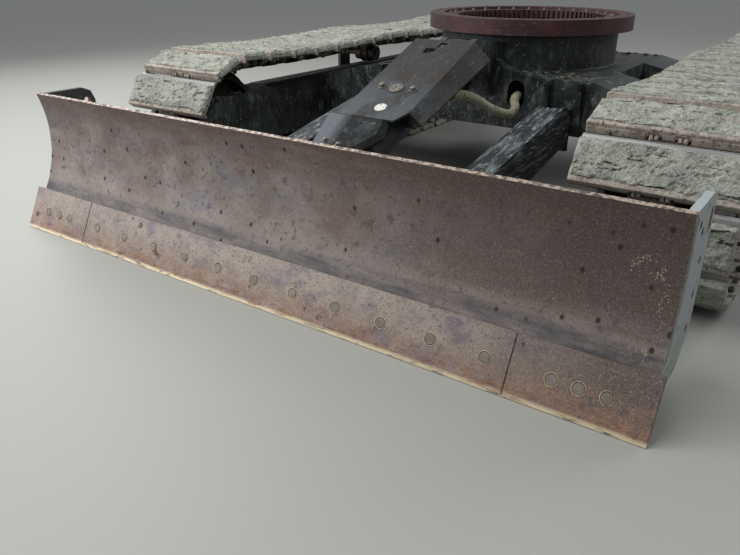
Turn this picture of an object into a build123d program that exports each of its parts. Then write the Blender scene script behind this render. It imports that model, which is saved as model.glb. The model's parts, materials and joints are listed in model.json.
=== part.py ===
from build123d import *
import math
import os

# Crawler undercarriage with a dozer blade, for an excavator of the 8 to 9 tonne class.
# Frame: +Z up, the blade faces -Y, +X is the operator's left. The origin is on the floor, in the
# middle of the outline's length and width. All sizes are in millimetres.

os.makedirs("parts", exist_ok=True)

# Driving dimensions: the machine's layout
gauge = 1920.0              # between the middles of the two tracks
wheelbase = 2235.0          # idler centre to sprocket centre
wheel_z = 295.0             # height of the idler's and the sprocket's centres
blade_reach = 1930.0        # swing axis to the cutting edge's tip
edge_floor_gap = 2.0        # the parked blade's cutting edge hangs this far over the floor
running_gap = 0.3           # between curved faces that lie on or run on each other
pin_gap = 0.05              # radial clearance of a pin in its bore
pin_head = 8.0              # how far the cylinder's rear pin stands out at each end
arm_pin_head = 2.0          # and the same for the push arms' pins
weld_lap = 2.0              # how far fused plates run into each other

# Tracks: steel shoes with three grousers on a chain of links
shoe_count = 39
shoe_width = 450.0
grouser_height = 20.0
grouser_base = 18.0
grouser_top = 10.0
grouser_spread = 54.0       # from the middle grouser to the outer ones
shoe_plate = 10.0
pin_to_tip = 50.0           # chain pin line to the grouser tips
rail_drop = 40.0            # chain pin line to the surface that the wheels run on
rail_inside = 27.0          # the track's middle to a link rail's inner side
rail_width = 30.0
chain_phase = 58.0          # how far the first pin has run on from below the sprocket

pitch_radius = wheel_z - pin_to_tip
loop_length = 2 * wheelbase + 2 * math.pi * pitch_radius
shoe_pitch = loop_length / shoe_count
half_turn_of_link = shoe_pitch / pitch_radius / 2
link_middle_radius = pitch_radius * math.cos(half_turn_of_link)
rim_radius = (pitch_radius - rail_drop) * math.cos(half_turn_of_link) - running_gap
track_x = gauge / 2
rail_outside = rail_inside + rail_width


def save(piece, name):
    """Labels a finished piece and writes it."""
    piece.label = name
    export_step(piece, f"parts/{name}.step")


def save_pair(piece, name):
    """Writes a piece of the left side, and its mirror image for the right side."""
    save(piece, f"{name}_left")
    save(mirror(piece, about=Plane.YZ), f"{name}_right")


def on_loop(distance, lift):
    """A place on the chain's loop: how far along the pin line from below the sprocket, and how
    far outside that line. It comes as (y, z), with y measured from the sprocket's centre."""
    half_turn = math.pi * pitch_radius
    distance = distance % loop_length
    radius = pitch_radius + lift
    if distance < wheelbase:
        return -distance, wheel_z - radius
    distance -= wheelbase
    if distance < half_turn:
        angle = math.radians(270) - distance / pitch_radius
        return radius * math.cos(angle) - wheelbase, wheel_z + radius * math.sin(angle)
    distance -= half_turn
    if distance < wheelbase:
        return distance - wheelbase, wheel_z + radius
    distance -= wheelbase
    angle = math.radians(90) - distance / pitch_radius
    return radius * math.cos(angle), wheel_z + radius * math.sin(angle)


def joint_ring(lift):
    """One corner at each chain pin, all round the loop, a lift outside the pin line."""
    return [on_loop(index * shoe_pitch + chain_phase, lift) for index in range(shoe_count)]


def shoe_outline():
    """The corners of all shoes in turn: each is flat, square to its link, with three grousers."""
    root = pin_to_tip - grouser_height
    profile = []
    for middle in (-grouser_spread, 0.0, grouser_spread):
        profile += [
            (middle - grouser_base / 2, root),
            (middle - grouser_top / 2, pin_to_tip),
            (middle + grouser_top / 2, pin_to_tip),
            (middle + grouser_base / 2, root),
        ]
    corners = []
    for index in range(shoe_count):
        start = Vector(*on_loop(index * shoe_pitch + chain_phase, 0.0))
        end = Vector(*on_loop((index + 1) * shoe_pitch + chain_phase, 0.0))
        along = (end - start).normalized()
        out = Vector(-along.Y, along.X)
        middle = (start + end) * 0.5
        for step, lift in profile:
            place = middle + along * step + out * lift
            corners.append((place.X, place.Y))
    return corners


shoe_corners = shoe_outline()
track_rear = wheelbase / 2 + max(y for y, z in shoe_corners)
swing_y = (blade_reach - track_rear) / 2


def ahead(distance):
    """Y of a place that lies this far in front of the swing axis."""
    return swing_y - distance


idler_y = ahead(wheelbase / 2)
sprocket_y = ahead(-wheelbase / 2)

# Tracks
shoe_underside = pin_to_tip - grouser_height - shoe_plate
with BuildPart() as track:
    with BuildSketch(Plane.YZ.offset(track_x).shift_origin((track_x, sprocket_y, 0))):
        with BuildLine():
            Polyline(*shoe_corners, close=True)
        make_face()
        with BuildLine():
            Polyline(*joint_ring(shoe_underside), close=True)
        make_face(mode=Mode.SUBTRACT)
    extrude(amount=shoe_width / 2, both=True)
    for rail_side in (-1, 1):
        rail_x = track_x + rail_side * (rail_inside + rail_width / 2)
        with BuildSketch(Plane.YZ.offset(rail_x).shift_origin((rail_x, sprocket_y, 0))):
            with BuildLine():
                Polyline(*joint_ring(shoe_underside + weld_lap), close=True)
            make_face()
            with BuildLine():
                Polyline(*joint_ring(-rail_drop), close=True)
            make_face(mode=Mode.SUBTRACT)
        extrude(amount=rail_width / 2, both=True)
save_pair(track.part, "track")

# Track frames: a box beam with a ridged top, a fork for the idler and a plate for the drive
frame_half = 155.0          # the track's middle to the frame's outer sides
frame_wall = 22.0
frame_bottom = 195.0
frame_shoulder = 372.0      # where the sides end and the ridged top starts
frame_ridge = 412.0
frame_floor = 255.0         # underside of the closed part of the beam
beam_front = wheelbase / 2 - 282.5      # ahead of the swing axis
beam_rear = 357.5 - wheelbase / 2
fork_front = wheelbase / 2 + 227.5
fork_top = 415.0
fork_nose = 60.0            # cuts at the fork's lower front corner and over the idler
fork_nose_top = 80.0
fork_slope = 130.0
drive_plate = 30.0
drive_plate_radius = 180.0
drive_bore = 100.0

with BuildPart() as track_frame:
    with BuildSketch(Plane.XZ.offset(-ahead(beam_front))):
        with BuildLine():
            Polyline(
                (track_x - frame_half, frame_bottom),
                (track_x - frame_half, frame_shoulder),
                (track_x - frame_half / 4, frame_ridge),
                (track_x + frame_half / 4, frame_ridge),
                (track_x + frame_half, frame_shoulder),
                (track_x + frame_half, frame_bottom),
                (track_x + frame_half - frame_wall, frame_bottom),
                (track_x + frame_half - frame_wall, frame_floor),
                (track_x - frame_half + frame_wall, frame_floor),
                (track_x - frame_half + frame_wall, frame_bottom),
                close=True,
            )
        make_face()
    extrude(amount=-(beam_front - beam_rear))
    with BuildSketch(Plane.XZ.offset(-ahead(beam_front - frame_wall))):
        with BuildLine():
            Polyline(
                (track_x - frame_half + frame_wall, frame_floor + frame_wall),
                (track_x - frame_half + frame_wall, frame_shoulder - frame_wall * 0.8),
                (track_x - frame_half / 4, frame_ridge - frame_wall),
                (track_x + frame_half / 4, frame_ridge - frame_wall),
                (track_x + frame_half - frame_wall, frame_shoulder - frame_wall * 0.8),
                (track_x + frame_half - frame_wall, frame_floor + frame_wall),
                close=True,
            )
        make_face()
    extrude(amount=-(beam_front - beam_rear - 2 * frame_wall), mode=Mode.SUBTRACT)
    for wall_x in (track_x - frame_half, track_x + frame_half - frame_wall):
        with BuildSketch(Plane.YZ.offset(wall_x)):
            with BuildLine():
                Polyline(
                    (ahead(beam_front - frame_wall), frame_bottom),
                    (ahead(fork_front - fork_nose), frame_bottom),
                    (ahead(fork_front), frame_bottom + fork_nose),
                    (ahead(fork_front), fork_top - fork_nose_top),
                    (ahead(fork_front - fork_slope), fork_top),
                    (ahead(beam_front + fork_nose), fork_top),
                    (ahead(beam_front - frame_wall), frame_shoulder),
                    close=True,
                )
            make_face()
        extrude(amount=frame_wall)
    with BuildSketch(Plane.YZ.offset(track_x - frame_half)):
        with BuildLine():
            Polyline(
                (ahead(beam_rear + frame_wall), frame_bottom),
                (sprocket_y, wheel_z - drive_plate_radius),
                (sprocket_y, wheel_z + drive_plate_radius),
                (ahead(beam_rear + frame_wall), frame_shoulder),
                close=True,
            )
        make_face()
        with Locations((sprocket_y, wheel_z)):
            Circle(drive_plate_radius)
            Circle(drive_bore + running_gap, mode=Mode.SUBTRACT)
    extrude(amount=drive_plate)
save_pair(track_frame.part, "track_frame")

# Idlers: a wheel with a guide flange, on a shaft between two sliding yokes
idler_half_width = rail_outside + 3.0
idler_flange_half = rail_inside - 3.0
idler_flange_radius = 218.0
idler_shaft = 34.0
idler_hub = 62.0
idler_web = 14.0
idler_rim = 18.0            # thickness of the rim at its edge, and at the web
idler_rim_root = 28.0
idler_flange_slope = 8.0
yoke_length = 150.0
yoke_height = 130.0
yoke_thickness = 26.0
yoke_corner = 18.0

with BuildPart() as idler:
    with BuildSketch(Plane.XY.offset(wheel_z)):
        with BuildLine():
            Polyline(
                (track_x - frame_half + frame_wall, idler_y),
                (track_x - frame_half + frame_wall, idler_y - idler_shaft),
                (track_x - idler_half_width, idler_y - idler_shaft),
                (track_x - idler_half_width, idler_y - idler_hub),
                (track_x - idler_web, idler_y - idler_hub),
                (track_x - idler_web, idler_y - rim_radius + idler_rim_root),
                (track_x - idler_half_width, idler_y - rim_radius + idler_rim),
                (track_x - idler_half_width, idler_y - rim_radius),
                (track_x - idler_flange_half, idler_y - rim_radius),
                (track_x - idler_flange_half + idler_flange_slope, idler_y - idler_flange_radius),
                (track_x + idler_flange_half - idler_flange_slope, idler_y - idler_flange_radius),
                (track_x + idler_flange_half, idler_y - rim_radius),
                (track_x + idler_half_width, idler_y - rim_radius),
                (track_x + idler_half_width, idler_y - rim_radius + idler_rim),
                (track_x + idler_web, idler_y - rim_radius + idler_rim_root),
                (track_x + idler_web, idler_y - idler_hub),
                (track_x + idler_half_width, idler_y - idler_hub),
                (track_x + idler_half_width, idler_y - idler_shaft),
                (track_x + frame_half - frame_wall, idler_y - idler_shaft),
                (track_x + frame_half - frame_wall, idler_y),
                close=True,
            )
        make_face()
    revolve(axis=Axis((0, idler_y, wheel_z), (1, 0, 0)))
save_pair(idler.part, "idler")

# Sprockets and final drives
tooth_count = 20            # the chain's bushings fall in every second gap
wrap_start = 2 * wheelbase + math.pi * pitch_radius
first_pin = 90.0 - math.degrees((chain_phase - wrap_start) % shoe_pitch / pitch_radius)
sprocket_half = rail_inside - 3.0
bushing_drop = 22.0         # the chain's pin line to the tooth gaps' bottom
tooth_height = 26.0
tooth_sink = 6.0            # how far a tooth's shape runs into the wheel
tooth_width = 44.0
tooth_slope = 62.0
sprocket_root = pitch_radius * math.cos(half_turn_of_link) - bushing_drop
drive_drum = 138.0
drive_flange = 160.0
drive_flange_inner = track_x - frame_half + drive_plate
drive_cover = 118.0
drive_outer = 128.0         # how far the cover stands outside the track's middle
drive_step = 22.0           # the cover's shoulder outside the sprocket, then its slope
drive_slope = 18.0
drive_chamfer = 16.0
motor_radius = 92.0
motor_chamfer = 14.0
motor_reach = 335.0         # from the track's middle to the motor's inner end
motor_start = track_x - motor_reach

with BuildPart() as sprocket:
    with BuildSketch(Plane.YZ.offset(track_x)):
        with Locations((sprocket_y, wheel_z)):
            Circle(sprocket_root)
            with PolarLocations(sprocket_root, tooth_count, start_angle=first_pin + 180.0 / tooth_count):
                with Locations(((tooth_height - tooth_sink) / 2, 0)):
                    Trapezoid(tooth_width, tooth_height + tooth_sink, tooth_slope, rotation=-90)
            Circle(drive_drum + running_gap, mode=Mode.SUBTRACT)
    extrude(amount=sprocket_half, both=True)
save_pair(sprocket.part, "sprocket")

with BuildPart() as final_drive:
    with BuildSketch(Plane.XY.offset(wheel_z)):
        with BuildLine():
            Polyline(
                (motor_start, sprocket_y),
                (motor_start, sprocket_y - motor_radius + motor_chamfer),
                (motor_start + motor_chamfer, sprocket_y - motor_radius),
                (track_x - frame_half, sprocket_y - motor_radius),
                (track_x - frame_half, sprocket_y - drive_bore),
                (drive_flange_inner, sprocket_y - drive_bore),
                (drive_flange_inner, sprocket_y - drive_flange),
                (track_x - sprocket_half, sprocket_y - drive_flange),
                (track_x - sprocket_half, sprocket_y - drive_drum),
                (track_x + sprocket_half + drive_step, sprocket_y - drive_drum),
                (track_x + sprocket_half + drive_step + drive_slope, sprocket_y - drive_cover),
                (track_x + drive_outer - drive_chamfer, sprocket_y - drive_cover),
                (track_x + drive_outer, sprocket_y - drive_cover + drive_chamfer),
                (track_x + drive_outer, sprocket_y),
                close=True,
            )
        make_face()
    revolve(axis=Axis((0, sprocket_y, wheel_z), (1, 0, 0)))
save_pair(final_drive.part, "final_drive")

# Yokes that hold the idler's shaft between the fork's plates
with BuildPart() as idler_yokes:
    for yoke_side in (-1, 1):
        yoke_x = track_x + yoke_side * (frame_half - frame_wall - yoke_thickness / 2)
        with BuildSketch(Plane.YZ.offset(yoke_x)):
            with Locations((idler_y, wheel_z)):
                RectangleRounded(yoke_length, yoke_height, yoke_corner)
                Circle(idler_shaft + pin_gap, mode=Mode.SUBTRACT)
        extrude(amount=yoke_thickness / 2, both=True)
save_pair(idler_yokes.part, "idler_yokes")

# Track rollers: they run on the lower link rails, each with its shaft's two blocks
roller_inset = 417.5        # from the idler's and the sprocket's centres to the outer rollers
roller_step = (wheelbase - 2 * roller_inset) / 4
roller_places = [number * roller_step for number in (2, 1, 0, -1, -2)]     # ahead of the swing axis
roller_z = 160.0
roller_tread = roller_z - (pin_to_tip + rail_drop) - running_gap
roller_flange = roller_tread + 15.0
roller_shaft = 26.0
tread_outer = rail_outside + 5.0
flange_outer = tread_outer + 16.0
block_inner = flange_outer + 14.0
block_outer = 150.0
block_length = 60.0
block_rim = 6.0             # how far a block reaches under its shaft

with BuildPart() as track_rollers:
    for place in roller_places:
        roller_y = ahead(place)
        with BuildSketch(Plane.XY.offset(roller_z)):
            with BuildLine():
                Polyline(
                    (track_x - block_outer, roller_y),
                    (track_x - block_outer, roller_y - roller_shaft),
                    (track_x - flange_outer, roller_y - roller_shaft),
                    (track_x - flange_outer, roller_y - roller_flange),
                    (track_x - tread_outer, roller_y - roller_flange),
                    (track_x - tread_outer, roller_y - roller_tread),
                    (track_x + tread_outer, roller_y - roller_tread),
                    (track_x + tread_outer, roller_y - roller_flange),
                    (track_x + flange_outer, roller_y - roller_flange),
                    (track_x + flange_outer, roller_y - roller_shaft),
                    (track_x + block_outer, roller_y - roller_shaft),
                    (track_x + block_outer, roller_y),
                    close=True,
                )
            make_face()
        revolve(axis=Axis((0, roller_y, roller_z), (1, 0, 0)))
        for block_side in (-1, 1):
            block_x = track_x + block_side * (block_inner + block_outer) / 2
            block_bottom = roller_z - roller_shaft - block_rim
            with Locations((block_x, roller_y, (block_bottom + frame_bottom) / 2)):
                Box(block_outer - block_inner, block_length, frame_bottom - block_bottom)
save_pair(track_rollers.part, "track_rollers")

# Carrier rollers: one a side holds the upper run up, on a bracket outside the frame
carrier_place = -50.0       # ahead of the swing axis
carrier_radius = 38.0
carrier_half = rail_outside + 3.0
carrier_shaft = 16.0
carrier_plate = 16.0
carrier_plate_width = 90.0
carrier_plate_bottom = 270.0
carrier_shaft_end = 6.0     # how far the shaft stands out of the roller
carrier_y = ahead(carrier_place)
carrier_z = 2 * wheel_z - (pin_to_tip + rail_drop) - carrier_radius - running_gap

with BuildPart() as carrier_bracket:
    with BuildSketch(Plane.YZ.offset(track_x + frame_half)):
        with Locations((carrier_y, (carrier_plate_bottom + carrier_z) / 2)):
            Rectangle(carrier_plate_width, carrier_z - carrier_plate_bottom)
        with Locations((carrier_y, carrier_z)):
            Circle(carrier_plate_width / 2)
    extrude(amount=carrier_plate)
    with BuildSketch(Plane.YZ.offset(track_x - carrier_half - carrier_shaft_end)):
        with Locations((carrier_y, carrier_z)):
            Circle(carrier_shaft)
    extrude(amount=carrier_half + carrier_shaft_end + frame_half + weld_lap)
save_pair(carrier_bracket.part, "carrier_bracket")

with BuildPart() as carrier_roller:
    with BuildSketch(Plane.YZ.offset(track_x)):
        with Locations((carrier_y, carrier_z)):
            Circle(carrier_radius)
            Circle(carrier_shaft + running_gap, mode=Mode.SUBTRACT)
    extrude(amount=carrier_half, both=True)
save_pair(carrier_roller.part, "carrier_roller")

# Carbody: a round tub for the swing ring in a box, with four legs out to the track frames
box_half_length = 510.0
box_half_width = 500.0
box_bottom = 290.0
box_top = 504.0
box_wall = 16.0
leg_inner = 180.0           # the legs' sides nearest to the swing axis, along the machine
leg_end_bottom = 235.0
leg_end_top = 430.0
tub_radius = 400.0
tub_wall = 16.0
tub_top = 640.0
tub_flange_inner = 325.0
tub_flange = 22.0
front_edge = (              # the front plate's top edge: how far from the middle, and its height
    (300.0, box_top),
    (204.0, 517.0),
    (122.0, 536.0),
    (45.0, 585.0),
)
front_flange = 10.0         # a thin strip on that edge
flange_front = box_half_length + 4.0
flange_depth = 60.0
lug_place = box_half_length + 130.0     # the push arms' pivots, ahead of the swing axis
lug_z = 345.0
lug_x = 390.0
lug_radius = 52.0
lug_hang = 62.0             # how far the lug's plate hangs under the box
lug_knee = 84.0             # behind the pivot, where its lower edge turns up to the round end
lug_knee_hang = 52.0
lug_heel = 3.0
arm_width = 100.0
arm_height = 160.0
arm_wall = 12.0
arm_pin = 30.0
arm_play = 3.0              # a side, between a push arm's walls and the lug
gusset_plates = (           # where each starts and how thick it is, from the middle outward
    (322.0, 12.0),
    (450.0, 16.0),
)
gusset_top = 50.0           # how far a gusset stands out at its top, and lower down
gusset_knee = 35.0
gusset_knee_drop = 34.0
gusset_lift = 10.0
ram_place = box_half_length + 160.0     # the cylinder's rear pin, ahead of the swing axis
ram_z = 600.0
ram_eye_half = 50.0
ram_pin = 25.0
ear_gap = 1.0
ear_thickness = 25.0
ear_radius = 52.0
ear_foot = 90.0             # how far the carbody's ears reach down its front plate
hose_hole_x = 183.0
hose_hole_z = 430.0
hose_hole_width = 76.0
hose_hole_height = 112.0

with BuildPart() as carbody:
    with Locations((0, swing_y, (box_bottom + box_top) / 2)):
        Box(2 * box_half_width, 2 * box_half_length, box_top - box_bottom)
    for end in (-1, 1):
        for side in (-1, 1):
            leg_y = ahead(end * leg_inner)
            with BuildSketch(Plane.XZ.offset(-leg_y)):
                with BuildLine():
                    Polyline(
                        (side * (box_half_width - weld_lap), box_bottom),
                        (side * (track_x - frame_half), leg_end_bottom),
                        (side * (track_x - frame_half), leg_end_top),
                        (side * (box_half_width - weld_lap), box_top),
                        close=True,
                    )
                make_face()
            extrude(amount=end * (box_half_length - leg_inner))
    with Locations((0, swing_y, (box_bottom + box_top) / 2)):
        Box(
            2 * (box_half_width - box_wall),
            2 * (box_half_length - box_wall),
            box_top - box_bottom - 2 * box_wall,
            mode=Mode.SUBTRACT,
        )
    with BuildSketch(Plane.XY.offset(box_bottom)):
        with Locations((0, swing_y)):
            Circle(tub_radius)
    extrude(amount=tub_top - box_bottom)
    with BuildSketch(Plane.XY.offset(box_bottom + box_wall)):
        with Locations((0, swing_y)):
            Circle(tub_radius - tub_wall)
    extrude(amount=tub_top - box_bottom - box_wall - tub_flange, mode=Mode.SUBTRACT)
    with BuildSketch(Plane.XY.offset(tub_top - tub_flange - weld_lap)):
        with Locations((0, swing_y)):
            Circle(tub_flange_inner)
    extrude(amount=tub_flange + 2 * weld_lap, mode=Mode.SUBTRACT)
    with BuildSketch(Plane.XZ.offset(-ahead(box_half_length))):
        with BuildLine():
            Polyline(
                *[(-x, z) for x, z in front_edge],
                *[(x, z) for x, z in front_edge[::-1]],
                (front_edge[0][0], box_top - 2 * box_wall),
                (-front_edge[0][0], box_top - 2 * box_wall),
                close=True,
            )
        make_face()
    extrude(amount=-box_wall)
    with BuildSketch(Plane.XZ.offset(-ahead(flange_front))):
        with BuildLine():
            Polyline(
                *[(-x, z) for x, z in front_edge],
                *[(x, z) for x, z in front_edge[::-1]],
                *[(x, z - front_flange) for x, z in front_edge],
                *[(-x, z - front_flange) for x, z in front_edge[::-1]],
                close=True,
            )
        make_face()
    extrude(amount=-flange_depth)
    for side in (-1, 1):
        with BuildSketch(Plane.YZ.offset(side * lug_x)):
            with BuildLine():
                Polyline(
                    (ahead(box_half_length - weld_lap), box_bottom - lug_hang),
                    (ahead(lug_place - lug_knee), box_bottom - lug_knee_hang),
                    (ahead(lug_place - lug_radius), lug_z - lug_radius - lug_heel),
                    (ahead(lug_place), lug_z - lug_radius),
                    (ahead(lug_place), lug_z + lug_radius),
                    (ahead(box_half_length - weld_lap), lug_z + 1.04 * lug_radius),
                    close=True,
                )
            make_face()
            with Locations((ahead(lug_place), lug_z)):
                Circle(lug_radius)
        extrude(amount=arm_width / 2 - arm_wall - arm_play, both=True)
        with BuildSketch(Plane.YZ.offset(side * lug_x)):
            with Locations((ahead(lug_place), lug_z)):
                Circle(arm_pin + pin_gap)
        extrude(amount=arm_width / 2, both=True, mode=Mode.SUBTRACT)
        for start_x, thickness in gusset_plates:
            with BuildSketch(Plane.YZ.offset(side * (start_x + thickness / 2))):
                with BuildLine():
                    Polyline(
                        (ahead(box_half_length - weld_lap), box_top),
                        (ahead(box_half_length + gusset_top), box_top),
                        (ahead(box_half_length + gusset_knee), box_top - gusset_knee_drop),
                        (ahead(box_half_length - weld_lap), box_bottom + gusset_lift),
                        close=True,
                    )
                make_face()
            extrude(amount=thickness / 2, both=True)
        with BuildSketch(Plane.YZ.offset(side * (ram_eye_half + ear_gap + ear_thickness / 2))):
            with BuildLine():
                Polyline(
                    (ahead(tub_radius - tub_wall / 2), box_top - weld_lap),
                    (ahead(box_half_length), box_top - weld_lap),
                    (ahead(box_half_length), box_top - ear_foot),
                    (ahead(ram_place) + ear_radius * 0.6, ram_z - ear_radius * 0.8),
                    (ahead(ram_place), ram_z + ear_radius),
                    (ahead(tub_radius - tub_wall / 2), tub_top - tub_flange),
                    close=True,
                )
            make_face()
            with Locations((ahead(ram_place), ram_z)):
                Circle(ear_radius)
                Circle(ram_pin + pin_gap, mode=Mode.SUBTRACT)
        extrude(amount=ear_thickness / 2, both=True)
    with BuildSketch(Plane.XZ.offset(-ahead(box_half_length - box_wall - weld_lap))):
        with Locations((hose_hole_x, hose_hole_z)):
            SlotOverall(hose_hole_height, hose_hole_width, rotation=90)
    extrude(amount=box_wall + 2 * weld_lap, mode=Mode.SUBTRACT)
save(carbody.part, "carbody")

with BuildPart() as arm_pins:
    for side in (-1, 1):
        with BuildSketch(Plane.YZ.offset(side * lug_x)):
            with Locations((ahead(lug_place), lug_z)):
                Circle(arm_pin)
        extrude(amount=arm_width / 2 + arm_pin_head, both=True)
save(arm_pins.part, "arm_pins")

with BuildPart() as ram_pin_piece:
    with BuildSketch(Plane.YZ):
        with Locations((ahead(ram_place), ram_z)):
            Circle(ram_pin)
    extrude(amount=ram_eye_half + ear_gap + ear_thickness + pin_head, both=True)
save(ram_pin_piece.part, "cylinder_pin")

# Swing ring: the toothed inner race on the tub, the outer race that carries the upper machine
inner_race_radius = 395.0
tooth_tip_radius = 335.0
tooth_depth = 9.0
ring_tooth_count = 84
inner_race_top = 700.0
outer_race_radius = 460.0
outer_race_bottom = 650.0
outer_race_top = 712.0
race_gap = 0.5
bolt_circle = 860.0
bolt_count = 30
bolt_hole = 8.8
swivel_radius = 70.0
swivel_top = 660.0

with BuildPart() as swing_ring_inner:
    with BuildSketch(Plane.XY.offset(tub_top)):
        with Locations((0, swing_y)):
            Circle(inner_race_radius)
            Circle(tooth_tip_radius + tooth_depth, mode=Mode.SUBTRACT)
            with PolarLocations(tooth_tip_radius + tooth_depth / 2, ring_tooth_count):
                Rectangle(tooth_depth + 2 * weld_lap, tooth_depth * 1.3)
    extrude(amount=inner_race_top - tub_top)
save(swing_ring_inner.part, "swing_ring_inner")

with BuildPart() as swing_ring_outer:
    with BuildSketch(Plane.XY.offset(outer_race_bottom)):
        with Locations((0, swing_y)):
            Circle(outer_race_radius)
            Circle(inner_race_radius + race_gap, mode=Mode.SUBTRACT)
            with PolarLocations(bolt_circle / 2, bolt_count):
                Circle(bolt_hole, mode=Mode.SUBTRACT)
    extrude(amount=outer_race_top - outer_race_bottom)
save(swing_ring_outer.part, "swing_ring_outer")

with BuildPart() as swivel_joint:
    with BuildSketch(Plane.XY.offset(box_bottom + box_wall)):
        with Locations((0, swing_y)):
            Circle(swivel_radius)
    extrude(amount=swivel_top - box_bottom - box_wall)
save(swivel_joint.part, "swivel_joint")

# Blade: a curved moldboard with a bolted cutting edge, end plates and a box behind it.
# Its profile's points are (distance behind the cutting edge's tip, height above that tip).
blade_half = 1145.5
edge_overhang = 14.5        # how far the cutting edge stands out past the moldboard
end_bit = 335.5             # length of the edge's outer pieces
edge_half = blade_half + edge_overhang
edge_joint = edge_half - end_bit
edge_face_back = 69.8
edge_face_height = 139.8
edge_thickness = 22.0
edge_bevel = 30.0
mold_thickness = 12.0
mold_foot_height = 49.5
mold_low = Vector(93.0, 137.0)
mold_top = Vector(125.0, 483.0)
mold_bulge = 38.0
mold_corner = 30.0


def on_blade(back, height):
    """A point of the blade's profile as (y, z)."""
    return ahead(blade_reach - back), edge_floor_gap + height


edge_up = Vector(edge_face_back, edge_face_height).normalized()
edge_back = Vector(edge_up.Y, -edge_up.X)
edge_heel = edge_back * edge_thickness + edge_up * edge_bevel
edge_shoulder = edge_back * edge_thickness + edge_up * math.hypot(edge_face_back, edge_face_height)

mold_chord = mold_top - mold_low
mold_back = Vector(mold_chord.Y, -mold_chord.X).normalized()
mold_radius = mold_chord.length ** 2 / (8 * mold_bulge) + mold_bulge / 2
mold_waist = (mold_low + mold_top) * 0.5 + mold_back * mold_bulge
mold_centre = mold_waist - mold_back * mold_radius
mold_foot = edge_back * edge_thickness
mold_foot = mold_foot + edge_up * ((mold_foot_height - mold_foot.Y) / edge_up.Y)


def behind(point, depth):
    """The point that lies this deep behind the moldboard's face, square to it."""
    return point + (point - mold_centre).normalized() * depth


def blade_piece(left, right):
    """The cutting edge's profile from one X to another."""
    with BuildPart() as edge_piece:
        with BuildSketch(Plane.YZ.offset(left)):
            with BuildLine():
                Polyline(
                    on_blade(0.0, 0.0),
                    on_blade(edge_face_back, edge_face_height),
                    on_blade(edge_shoulder.X, edge_shoulder.Y),
                    on_blade(edge_heel.X, edge_heel.Y),
                    close=True,
                )
            make_face()
        extrude(amount=right - left)
    return edge_piece.part


save(blade_piece(-edge_joint, edge_joint), "cutting_edge")
save_pair(blade_piece(edge_joint, edge_half), "end_bit")

with BuildPart() as moldboard:
    front = [behind(point, 0.0) for point in (mold_low, mold_waist, mold_top)]
    rear = [behind(point, mold_thickness) for point in (mold_low, mold_waist, mold_top)]
    foot_rear = mold_foot + edge_back * mold_thickness
    with BuildSketch(Plane.YZ):
        with BuildLine():
            Line(on_blade(mold_foot.X, mold_foot.Y), on_blade(front[0].X, front[0].Y))
            ThreePointArc(*[on_blade(point.X, point.Y) for point in front])
            Line(on_blade(front[2].X, front[2].Y), on_blade(rear[2].X, rear[2].Y))
            ThreePointArc(*[on_blade(point.X, point.Y) for point in rear])
            Line(on_blade(rear[0].X, rear[0].Y), on_blade(foot_rear.X, foot_rear.Y))
            Line(on_blade(foot_rear.X, foot_rear.Y), on_blade(mold_foot.X, mold_foot.Y))
        make_face()
    extrude(amount=blade_half, both=True)
save(moldboard.part, "moldboard")

# What is welded behind the moldboard: end plates, a box along it, ribs and the cylinder's ears
end_plate = 20.0
end_plate_back = 352.0      # behind the edge's tip, as are the next places of the blade
end_plate_top = 483.0
end_plate_bottom = 55.0
end_plate_round = 50.0
end_holes = (               # behind the edge's tip, and up
    (165.0, 453.0),
    (205.0, 436.0),
    (240.0, 411.0),
    (285.0, 330.0),
    (295.0, 240.0),
    (300.0, 150.0),
)
end_hole = 10.0
tie_slot_back = 318.0
tie_slot_height = 415.0
tie_slot_width = 30.0
tie_slot_length = 66.0
beam_back = 270.0
beam_bottom = 140.0
beam_top = 360.0
beam_plate = 14.0
beam_start = 30.0           # the end plates, the box and the ribs start inside the moldboard
end_plate_heel = 70.0       # the cut at the end plate's lower rear corner
end_plate_toe = 90.0
outer_rib_inset = 205.5
outer_rib = blade_half - outer_rib_inset
inner_rib = 700.0
rib_places = (-outer_rib, -inner_rib, -lug_x, 0.0, lug_x, inner_rib, outer_rib)
rib_thickness = 14.0
rib_bottom = 62.0
rib_rise = 70.0             # how far the ribs stand over the box
rib_top_back = 200.0
rib_foot_back = 170.0
cut_reach = 300.0           # size of the shape that keeps all this behind the moldboard
cut_drop = 90.0
foot_end = mold_foot + edge_back * (mold_thickness + running_gap)
rear_end = behind(mold_low, mold_thickness + running_gap)


def clear_of_moldboard():
    """Cuts the sketch under way back from the moldboard's rear side."""
    with Locations(on_blade(mold_centre.X, mold_centre.Y)):
        Circle(mold_radius + mold_thickness + running_gap, mode=Mode.SUBTRACT)
    Polygon(
        on_blade(foot_end.X - cut_reach, foot_end.Y - cut_reach),
        on_blade(foot_end.X - edge_up.X * cut_drop, foot_end.Y - edge_up.Y * cut_drop),
        on_blade(rear_end.X, rear_end.Y),
        on_blade(rear_end.X - cut_reach, rear_end.Y),
        align=None,
        mode=Mode.SUBTRACT,
    )


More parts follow.
